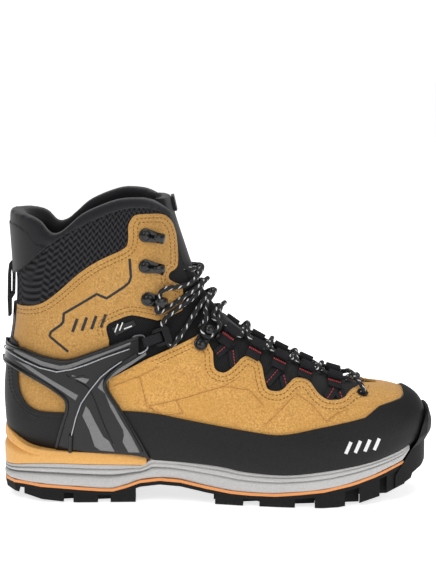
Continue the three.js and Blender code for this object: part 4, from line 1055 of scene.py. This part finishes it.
# Each bar: from x, to x, height of its foot, half its width.
centre_rows = [(43.5, 54, 0.5, 29), (67.5, 80, 0.5, 30), (167, 181.5, 0.5, 37), (203, 220, 0.5, 43),
    (238, 251, 1.4, 42), (262.5, 271, 5.5, 34)]
for i, (x0, x1, foot, half) in enumerate(centre_rows):
    top_height = level(inlay_top, (x0 + x1) / 2) - 2.6
    block = upright([(x0, -1 - half), (x1, 1 - half), (x1 + 1.5, -1), (x1, half - 3), (x0, half - 1),
        (x0 + 2, -1)], foot, top_height)
    finish_piece(block, f"centre_block_{i + 1}", sole_rubber, slot_name="black_rubber")
toe_side = [(277, 9.2), (284, 12.2), (288.8, 14.2), (290, 17.5), (294, 19.5), (297, 20.5), (300.2, 23),
    (303.4, 31.7), (302.5, 40), (299, 44), (293.4, 40.4), (283.5, 27.4), (277, 18)]
toe_block = cut(through(toe_side), upright(grown(plan_ring()[0], 0.0), 0, 60), "INTERSECT")
finish_piece(largest(toe_block), "toe_block", sole_rubber, slot_name="black_rubber", angle=30)

# %% [markdown]
# ## Lace hooks
# A speed hook is stamped from one strip: a flat teardrop foot, riveted down with a domed head, whose
# front end is bent back over the lace to a ridged point. Foot, rivet and tongue are lofted from their own
# outlines.

# %% Hook shapes
def plate(outline, n0, n1, where, edge=0.35):
    """A flat stamped shape with a softened rim, in a spot's ahead and up directions."""
    p = np.array(outline, float)
    centre = p.mean(0)
    inner = p + (centre - p) / np.linalg.norm(centre - p, axis=1, keepdims=True) * edge
    rings = [[where.at(a, u, n) for a, u in ring] for ring, n in ((inner, n0), (p, n0 + edge * 0.6),
        (p, n1 - edge), (p * 0.5 + inner * 0.5, n1 - edge * 0.3), (inner, n1))]
    return ring_solid("plate", rings)


def dome(where, a, radius, n0, high, count=20):
    """A rivet's domed head, with a short shank under it."""
    turn = 2 * np.pi * np.arange(count) / count
    levels = [(radius, n0 - 0.8)] + [(radius * math.sqrt(1 - t * t), n0 + high * t)
        for t in np.arange(7) / 7]
    return ring_solid("dome", [[where.at(a + r * math.cos(s), r * math.sin(s), n) for s in turn]
        for r, n in levels])


def tongue_strip(where, path, widths, thick, ridge=0.5):
    """A bent strip whose back has a ridge along its middle."""
    path = smooth_path([(a, 0, n) for a, n in path], 4)[:, [0, 2]]
    way = np.gradient(path, axis=0)
    way /= np.linalg.norm(way, axis=1, keepdims=True)
    side = np.stack([-way[:, 1], way[:, 0]], 1)
    wide = np.interp(np.linspace(0, 1, len(path)), np.linspace(0, 1, len(widths)), widths)
    rings = []
    for (a, n), (sa, sn), w in zip(path, side, wide):
        section = [(-w / 2, -thick / 2), (w / 2, -thick / 2), (w / 2, thick * 0.2),
            (w / 4, thick * 0.5 + ridge * 0.5), (0, thick * 0.5 + ridge),
            (-w / 4, thick * 0.5 + ridge * 0.5), (-w / 2, thick * 0.2)]
        rings.append([where.at(a - sa * t, u, n - sn * t) for u, t in section])
    return ring_solid("strip", rings)


def joined(parts):
    """Several finished shapes as one mesh, as a riveted fitting is one thing in the hand."""
    work = bmesh.new()
    for part in parts:
        work.from_mesh(part.data)
        bpy.data.objects.remove(part)
    mesh = bpy.data.meshes.new("joined")
    work.to_mesh(mesh)
    work.free()
    whole = bpy.data.objects.new("joined", mesh)
    bpy.context.scene.collection.objects.link(whole)
    return whole


def teardrop(rear, front, r_rear, r_front, count=28):
    points = []
    for s in np.linspace(math.pi / 2, 1.5 * math.pi, count // 2):
        points.append((rear + r_rear * math.cos(s), r_rear * math.sin(s)))
    for s in np.linspace(-math.pi / 2, math.pi / 2, count // 2):
        points.append((front + r_front * math.cos(s), r_front * math.sin(s)))
    return points


FOOT = RUBBER_IN
HOOK_TURN = -0.24
HOOK_BEND = [(8.6, 0.7), (10.9, 1.5), (11.9, 3.8), (10.6, 6.3), (7.6, 7.7), (4.4, 7.9), (2.6, 7.3)]
hook_places = [(104, 143.6), (102.1, 167), (102.2, 188.5)]
for side, name in SIDES:
    for i, (x, z) in enumerate(hook_places):
        f = spot(x, z, side, HOOK_TURN)
        whole = joined([plate(teardrop(-0.6, 8.0, 4.9, 3.6), FOOT - 0.25, FOOT + 1.1, f),
            dome(f, -0.4, 3.6, FOOT + 1.1, 1.7), tongue_strip(f, [(a, FOOT + n) for a, n in HOOK_BEND],
            (7.2, 7.2, 7.4, 7.0, 5.6, 3.8, 2.0), 1.1)])
        finish_piece(whole, f"lace_hook_{i + 1}_{name}", dark_metal, f"speed_hook_{i + 1}_{name}",
            slot_name="dark_metal", angle=50)
print("hooks made:", 2 * len(hook_places))

# %% [markdown]
# ## Lock hook and roller
# The lock hook grips the lace half way up: a riveted foot with two prongs, and between them a roller that
# turns.

# %% Lock hooks
CORD = 1.7
FORK_PLACE, FORK_TURN = (144, 118.5), 1.12
WRAP = 2.3 + 2 * GAP + CORD
FOOT_TOP = FOOT + 1.2
for side, name in SIDES:
    f, top = spot(*FORK_PLACE, side, FORK_TURN), FOOT_TOP
    parts = [plate(teardrop(-10.5, 1.0, 4.8, 4.0), FOOT - 0.2, top, f), dome(f, -10.5, 3.7, top, 2.2)]
    for u in (-WRAP - CORD - 1.15, WRAP + CORD + 1.15):
        prong = [(-2.0, top), (2.4, top), (2.6, top + 3.0), (1.2, top + 5.6), (-0.6, top + 5.8),
            (-2.0, top + 3.2)]
        rings = [[f.at(a, u + shift, n) for a, n in prong] for shift in (-0.75, -0.55, 0.55, 0.75)]
        parts.append(ring_solid("prong", rings))
        near, far = min(u, 0), max(u, 0)
        parts.append(plate([(-2.4, near), (2.8, near), (2.8, far), (-2.4, far)], FOOT, top, f, 0.2))
    finish_piece(joined(parts), "lock_hook_fork_" + name, dark_metal, "lock_hook_" + name,
        slot_name="dark_metal", angle=45)

    turn = 2 * np.pi * (np.arange(28) + 0.5) / 28
    profile = [(1.1, top + GAP), (2.1, top + GAP), (2.3, top + GAP + 0.3), (2.25, top + GAP + 1.9),
        (2.35, top + GAP + 3.5), (3.2, top + GAP + 3.8), (3.4, top + GAP + 4.5), (3.0, top + 5.9),
        (1.9, top + 6.5), (0.6, top + 6.7)]
    roller = ring_solid("roller", [[f.at(r * math.cos(s), r * math.sin(s), n) for s in turn]
        for r, n in profile])
    finish_piece(roller, "lock_roller_ball_" + name, dark_metal, "lock_roller_" + name,
        body="lock_roller_" + name, slot_name="dark_metal", angle=50)

# %% [markdown]
# ## Lace
# One round braided cord runs through everything: from the toe eyelets up through five webbing loops a
# side, round the lock hook, through the slider and over the lowest speed hook, changing side each time.
# Its path goes through the same guides as the hardware, so the cord always sits in them. It is held all
# the way by the boot.

# %% Lace path
def over_front(u, y, d):
    """A point y to the side of the front line, at distance d from the last."""
    wl, wm, n1 = section_at(u)[[5, 6, 8]]
    w = wl if y < 0 else wm
    phi = math.asin(min(abs(y) / w, 1) ** (n1 / 2))
    return skin(u, phi if y < 0 else 2 * math.pi - phi, d)


class ThroatSpot(Spot):
    """A place beside the throat, with up running along its edge."""

    def __init__(self, u, side, aside):
        y, e = side * (throat_half(u) + aside), 0.01
        self.origin = over_front(u, y, 0)
        self.up = over_front(u + e, y, 0) - over_front(u - e, y, 0)
        self.up /= np.linalg.norm(self.up)
        self.out = over_front(u, y, 1) - self.origin
        self.out /= np.linalg.norm(self.out)
        ahead = np.cross(self.up, self.out) * -side
        ahead /= np.linalg.norm(ahead)
        self.ahead = -ahead if ahead[1] * side > 0 else ahead


LOOPS = [4.83, 5.66, 6.42, 7.19, 8.2]
TAPE = 1.3
LOOP_HALF, LOOP_HIGH = 5.0, TAPE + 2 * GAP + CORD
TONGUE_OUT = MID_OUT - 0.5
EYELET_PLACE, SLIDER_PLACE, SLIDER_TURN = (253.5, 73.8), (99.5, 113.4), 0.33
CROSSINGS = [4.35, 5.25, 6.04, 6.8, 7.72, 9, 9.8, 10.6, None]
guides, loop_spots = {}, {}
for side, _ in SIDES:
    eye = spot(*EYELET_PLACE, side)
    found = [[eye.at(0, 0, -2.2), eye.at(0, 0, 2.5), eye.at(0, 0, 4.6)]]
    for i, u in enumerate(LOOPS):
        f = ThroatSpot(u, side, 3.2)
        loop_spots[side, i] = f
        found.append([f.at(0, v, LOOP_HIGH) for v in (-LOOP_HALF - 2, 0, LOOP_HALF + 2)])
    fork = spot(*FORK_PLACE, side, FORK_TURN)
    turn = [(8, -WRAP - 1), (0, -WRAP), (-WRAP * 0.72, -WRAP * 0.72), (-WRAP, 0),
        (-WRAP * 0.72, WRAP * 0.72), (0, WRAP), (8, WRAP + 1)]
    found.append([fork.at(a, v, FOOT_TOP + GAP + CORD) for a, v in turn])
    slider = spot(*SLIDER_PLACE, side, SLIDER_TURN)
    low = CAGE_OUT - 1.7 - 3.1
    found.append([slider.at(18.1, v, low + 2.9) for v in (-8.5, 0, 8.5)])
    hook = spot(*hook_places[0], side, HOOK_TURN)
    found.append([hook.at(6.6, v, FOOT_TOP + GAP + CORD + 0.3) for v in (-7.5, 0, 7.5)])
    guides[side] = found


def lace_half(start, height):
    """One half of the lace, from a toe eyelet up to where its end is tucked in."""
    path, side = [], start
    for i, u in enumerate(CROSSINGS):
        path += guides[side][i]
        if u is not None:
            if i > 4:
                path.append(over_front(u - 0.15, side * 17, CORD + GAP + 1))
            path.append(over_front(u, 0, height))
            if i > 4:
                path.append(over_front(u + 0.15, -side * 17, CORD + GAP + 1))
        side = -side
    end = -side
    return path + [over_front(11.2, end * 18, CORD + GAP + 1), over_front(11.45, 0, height),
        over_front(11.8, -end * 13, CORD + 0.4), over_front(12.2, -end * 16.3, -3),
        over_front(12.5, -end * 17, -8.5)]


under = TONGUE_OUT + GAP + CORD + 0.6
upper = under + 3.9
toe_bar = [over_front(4.0, -8, -3.2), over_front(4.0, 8, -3.2)]
lace_line = smooth_path(lace_half(-1, upper)[::-1] + toe_bar + lace_half(1, under), 5)
lace_length = float(np.linalg.norm(np.diff(lace_line, axis=0), axis=1).sum()) / 1000
print("lace length:", round(lace_length, 3), "m")

# %% [markdown]
# ## The lace's braid
# The braid is black with pale flecks where a light yarn comes up. The flecks follow the cord's own
# unwrapping: one coordinate runs round it and the other along it, so they spiral as the yarn does.

# %% Lace material and cord
def braid():
    made = bpy.data.materials.new("flecked_braid")
    made.use_nodes = True
    tree = made.node_tree
    shader = tree.nodes["Principled BSDF"]
    along = tree.nodes.new("ShaderNodeUVMap")
    along.uv_map = "along"
    split = tree.nodes.new("ShaderNodeSeparateXYZ")
    tree.links.new(along.outputs[0], split.inputs[0])
    u, v = split.outputs[0], split.outputs[1]
    calc = calculator(tree)
    run = calc("ADD", calc("MULTIPLY", v, 150.0), calc("MULTIPLY", u, 2.0))
    dash = calc("LESS_THAN", calc("FRACT", run), 0.24)
    pick = calc("FRACT", calc("ADD", calc("MULTIPLY", u, 3.0), calc("MULTIPLY", v, 37.0)))
    fleck = calc("MULTIPLY", dash, calc("LESS_THAN", pick, 0.42))
    mix = tree.nodes.new("ShaderNodeMix")
    mix.data_type = "RGBA"
    mix.inputs["A"].default_value = (0.008, 0.008, 0.009, 1)
    mix.inputs["B"].default_value = (0.75, 0.75, 0.76, 1)
    tree.links.new(fleck, mix.inputs["Factor"])
    tree.links.new(mix.outputs["Result"], shader.inputs["Base Color"])
    lift, spin = calc("MULTIPLY", v, 5200.0), calc("MULTIPLY", u, 25.13)
    ribs, cross = calc("SINE", calc("ADD", lift, spin)), calc("SINE", calc("SUBTRACT", lift, spin))
    relief = tree.nodes.new("ShaderNodeBump")
    relief.inputs["Strength"].default_value, relief.inputs["Distance"].default_value = 0.5, 0.0004
    tree.links.new(calc("MULTIPLY", ribs, cross), relief.inputs["Height"])
    tree.links.new(relief.outputs[0], shader.inputs["Normal"])
    shader.inputs["Roughness"].default_value = 0.75
    return made


flecked = braid()
lace = sweep("lace", lace_line, CORD, 12)
finish_piece(lace, "braided_lace", flecked, "lace", slot_name="lace_cord", angle=80)

# %% [markdown]
# ## Webbing loops
# Each loop is a folded tape: a round fold for the lace, two plies sewn flat on the woven base, and a
# short red bar tack. The fold is swept round, so that the tape shows its thickness at the edge.

# %% Loops
def tape_loop(f):
    """A folded tape: outer and inner faces of a ring, widened along the throat's edge."""
    turn = np.linspace(0, 2 * np.pi, 33)[:-1]
    inner, outer = CORD + 2 * GAP, CORD + 2 * GAP + TAPE
    edges = ((inner, -LOOP_HALF), (outer, -LOOP_HALF), (outer, LOOP_HALF), (inner, LOOP_HALF))
    points = [f.at(r * math.cos(s), u, LOOP_HIGH + r * math.sin(s)) for r, u in edges for s in turn]
    faces = []
    for k in range(4):
        for j in range(32):
            a, b = k * 32, ((k + 1) % 4) * 32
            faces.append((a + j, a + (j + 1) % 32, b + (j + 1) % 32, b + j))
    ring = mesh_object("tape", points, faces)
    outward(ring)
    return ring


for side, name in SIDES:
    tacks_a, tacks_b = [], []
    for i in range(len(LOOPS)):
        f = loop_spots[side, i]
        flat = [(-13.5, -LOOP_HALF), (-0.5, -LOOP_HALF), (-0.5, LOOP_HALF), (-13.5, LOOP_HALF)]
        loop = joined([tape_loop(f), plate(flat, -0.2, TAPE, f, 0.3)])
        finish_piece(loop, f"tape_loop_{i + 1}_{name}", webbing, f"lace_loop_{i + 1}_{name}",
            slot_name="webbing", angle=50)
        for a in (-4.6, -5.6):
            for v in np.arange(-4.2, 4.3, 1.4):
                tacks_a.append(f.at(a, v - 0.5, 1.45))
                tacks_b.append(f.at(a, v + 0.5, 1.45))
    finish_piece(capsules("tacks", tacks_a, tacks_b, 0.34), "red_bar_tacks_" + name, red_thread,
        slot_name="webbing", angle=60)

# %% [markdown]
# ## Prints
# The ankle carries an angular black line and plain bars, the rand four pale bars. They are thin films of
# ink, printed on the rounded surface, and carry no letters.

# %% Prints
ankle_line = fine([(91.3, 172.9), (92.1, 160), (90.7, 156.1), (87.3, 153.2), (75.6, 145.5), (68.9, 148.6),
    (46.3, 134.5), (45.7, 128.5), (44.2, 126.5), (37.2, 121.1), (36.2, 118.1), (38.2, 116.2),
    (48.9, 107.5)])
SUEDE_INK = (SUEDE_OUT - 0.2, SUEDE_OUT + 0.14)
RUBBER_INK = (RUBBER_OUT - 0.2, RUBBER_OUT + 0.14)
band_on("ankle_line_print", ankle_line, 1.7, *SUEDE_INK, black_print, "suede")
for i, x in enumerate((52, 58.5, 65, 71.5)):
    bar = fine([(x, 121.5 + 1.05 * i), (x + 3.4, 131 + 1.05 * i)])
    band_on(f"ankle_bar_print_{i + 1}", bar, 2.0, *SUEDE_INK, black_print, "suede")
for i, x in enumerate((240, 246.5, 253, 259.5)):
    bar = fine([(x, 38.5 + 0.35 * i), (x + 3.6, 46 + 0.35 * i)])
    band_on(f"rand_bar_print_{i + 1}", bar, 2.3, *RUBBER_INK, white_print, "black_rubber")
tag_bars = [[(81, 121.2), (83.2, 127)], [(84.2, 122.3), (86.4, 128)], [(87.4, 123.4), (92.8, 125.4)]]
for i, bar in enumerate(tag_bars):
    band_on(f"tag_bar_{i + 1}", fine(bar), 0.8, 0.7, 1.05, white_print, "label_tape")

# %% [markdown]
# ## Pressed lines
# The vamp has a faint angular pattern pressed into the suede. A pressed line is a shallow valley with a soft
# lip, so each one is a pair of low beads of the same suede close together, with a thin cord of darker suede
# in the valley between them as painted shade.

# %% Pressed lines on the vamp
pressed = [
    [(79.5, 83.4), (98.1, 90.4), (103.3, 69.3), (114.7, 63), (128.3, 65.1)],
    [(98.1, 90.4), (112, 97)],
    [(128.3, 65.1), (123.1, 73.6), (141.9, 78.8), (156.4, 82.6), (168, 89)],
    [(103.3, 69.3), (123.1, 73.6)],
    [(156.4, 82.6), (174.1, 80.5), (184.5, 70)],
    [(184.5, 57), (206.4, 77.4), (217.9, 70), (227.3, 59.4), (235.6, 64.7), (243, 66)],
]
for side, name in SIDES:
    for i, line in enumerate(pressed):
        lips = [sweep("lip", on_side(beside(fine(line, 1.5), s), side, SUEDE_OUT - 0.1), 0.36, 6)
                for s in (-0.62, 0.62)]
        finish_piece(joined(lips), f"pressed_lip_{i + 1}_{name}", suede, slot_name="suede", angle=60)
        # The valley cord's darker suede is painted shade.
        valley = sweep("valley", on_side(fine(line, 1.5), side, SUEDE_OUT - 0.12), 0.26, 6)
        finish_piece(valley, f"pressed_line_{i + 1}_{name}", valley_shade_suede, slot_name="suede", angle=60)

# %% [markdown]
# ## Cable sleeves
# Each side cable of the cage ends in a short black sleeve, just above the foam wedge.

# %% Sleeves at the cables' feet
for side, name in SIDES:
    sleeve = sweep("sleeve", on_side(fine([(51, 50), (50.2, 39)], 1.5), side, CAGE_OUT + 0.9), 1.45, 12)
    finish_piece(sleeve, "cable_sleeve_" + name, cage_plastic, slot_name="cage_plastic", angle=60)

# %% [markdown]
# ## Tape tails
# Between the scallops the tapes of the loops run on down under the suede as slanting tails, and a row of
# red thread holds each along its middle.

# %% Slanting tape tails with red rows
tails = [
    [(151.2, 104), (162.5, 112)], [(162.7, 106), (164.3, 95.5)], [(186, 84.8), (197.1, 95)],
    [(198.1, 89), (200.4, 81.8)], [(228.3, 73.2), (234.5, 79.6)], [(237.4, 76.6), (239.2, 72.4)],
]
for side, name in SIDES:
    for i, line in enumerate(tails):
        band_on(f"tape_tail_{i + 1}_{name}", fine(line), 6.5, -0.5, 0.85, webbing, "webbing", side)
stitches("red_tail_rows", [fine(line, 0.8) for line in tails], 0.95, red_thread, "webbing",
    pitch=1.9, long=1.35, radius=0.3)

# %% [markdown]
# ## Carried-over solids
# Small hard pieces keep their solid. Each gets its real finish, and those with a width below get a small
# rounded edge, as moulding and stamping leave one, so that it catches the light.

# %% Finishes of the carried-over pieces
# Start of a node's name, its material, and the width of its soft edge in millimetres.
FINISH_OF = [("eyelet", dark_metal, 0.2), ("d_ring", steel, 0), ("cable", steel, 0), ("shank", steel, 0.2),
    ("slider", cage_plastic, 0.5), ("strap", webbing, 0.2), ("pull_loop", webbing, 0.2),
    ("insole_board", board, 0), ("toe_puff", board, 0), ("heel_stiffener", board, 0), ("footbed", felt, 0),
    ("tongue_tab", softshell, 0.5), ("back_strap", rand_rubber, 0.3), ("outsole", sole_rubber, 0.4),
    ("sole_inlay", inlay_orange, 0), ("label", black_print, 0)]
for name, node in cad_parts.items():
    if node.hide_render:
        continue
    finish, edge = next((m, e) for key, m, e in FINISH_OF if name.startswith(key))
    node.data.materials.clear()
    node.data.materials.append(finish)
    node.data.shade_smooth()
    node.data.set_sharp_from_angle(angle=math.radians(35))
    if edge:
        soft = node.modifiers.new("edge", "BEVEL")
        soft.width, soft.segments = edge / 1000, 2
        soft.limit_method, soft.angle_limit = "ANGLE", math.radians(40)
        soft.harden_normals = False
print("carried over:", sum(not n.hide_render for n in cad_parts.values()))

# %% [markdown]
# ## Studio
# A plain pale floor, soft lights from above, the front and the side, and one long lens at the boot's
# outer side.

# %% Floor, lights and camera
def studio():
    world = bpy.data.worlds.new("studio") if not bpy.data.worlds else bpy.data.worlds[0]
    bpy.context.scene.world = world
    world.use_nodes = True
    tree = world.node_tree
    tree.nodes["Background"].inputs[0].default_value = (1, 1, 1, 1)
    seen = tree.nodes.new("ShaderNodeLightPath")
    strength = tree.nodes.new("ShaderNodeMapRange")
    strength.inputs["To Min"].default_value, strength.inputs["To Max"].default_value = 0.27, 1.3
    tree.links.new(seen.outputs["Is Camera Ray"], strength.inputs["Value"])
    tree.links.new(strength.outputs[0], tree.nodes["Background"].inputs[1])
    bpy.context.scene.view_settings.view_transform = "Standard"
    floor = mesh_object("floor", [(-4, -3, -0.0006), (4, -3, -0.0006), (4, 5, -0.0006), (-4, 5, -0.0006)],
        [(0, 1, 2, 3)])
    pale = material("pale_floor", (0.93, 0.93, 0.93), (0.97, 0.97, 0.97), (0.8, 0.9), grit=3.0, bump=0.0)
    pale.node_tree.nodes["Principled BSDF"].inputs["Emission Color"].default_value = (1, 1, 1, 1)
    pale.node_tree.nodes["Principled BSDF"].inputs["Emission Strength"].default_value = 0.74
    floor.data.materials.append(pale)
    for name, where, size, power in (("key", (-0.5, -1.1, 1.3), 1.1, 10.2),
        ("fill", (1.1, -0.9, 0.7), 0.9, 3.9), ("top", (0.1, 0.2, 1.5), 1.2, 7.2),
        ("back", (-0.4, 1.2, 0.9), 0.9, 3.9)):
        lamp = bpy.data.lights.new(name, "AREA")
        lamp.size, lamp.energy = size, power
        light = bpy.data.objects.new(name, lamp)
        bpy.context.scene.collection.objects.link(light)
        light.location = where
        light.rotation_euler = (Vector((0, 0, 0.1)) - Vector(where)).to_track_quat("-Z", "Y").to_euler()
    lens = bpy.data.cameras.new("camera")
    lens.lens, lens.sensor_width = 130.97, 36
    camera = bpy.data.objects.new("camera", lens)
    bpy.context.scene.collection.objects.link(camera)
    camera.location = (-0.00025, -1.47755, 0.37865)
    target = Vector((-0.00025, 0.00395, 0.144))
    camera.rotation_euler = (target - camera.location).to_track_quat("-Z", "Y").to_euler()
    bpy.context.scene.camera = camera


studio()
print("camera at", tuple(bpy.context.scene.camera.location))

# %% [markdown]
# ## Clean up
# The helper shapes are removed.

# %% Clean up and finish
for spare in [*shells.values(), throat]:
    bpy.data.objects.remove(spare)
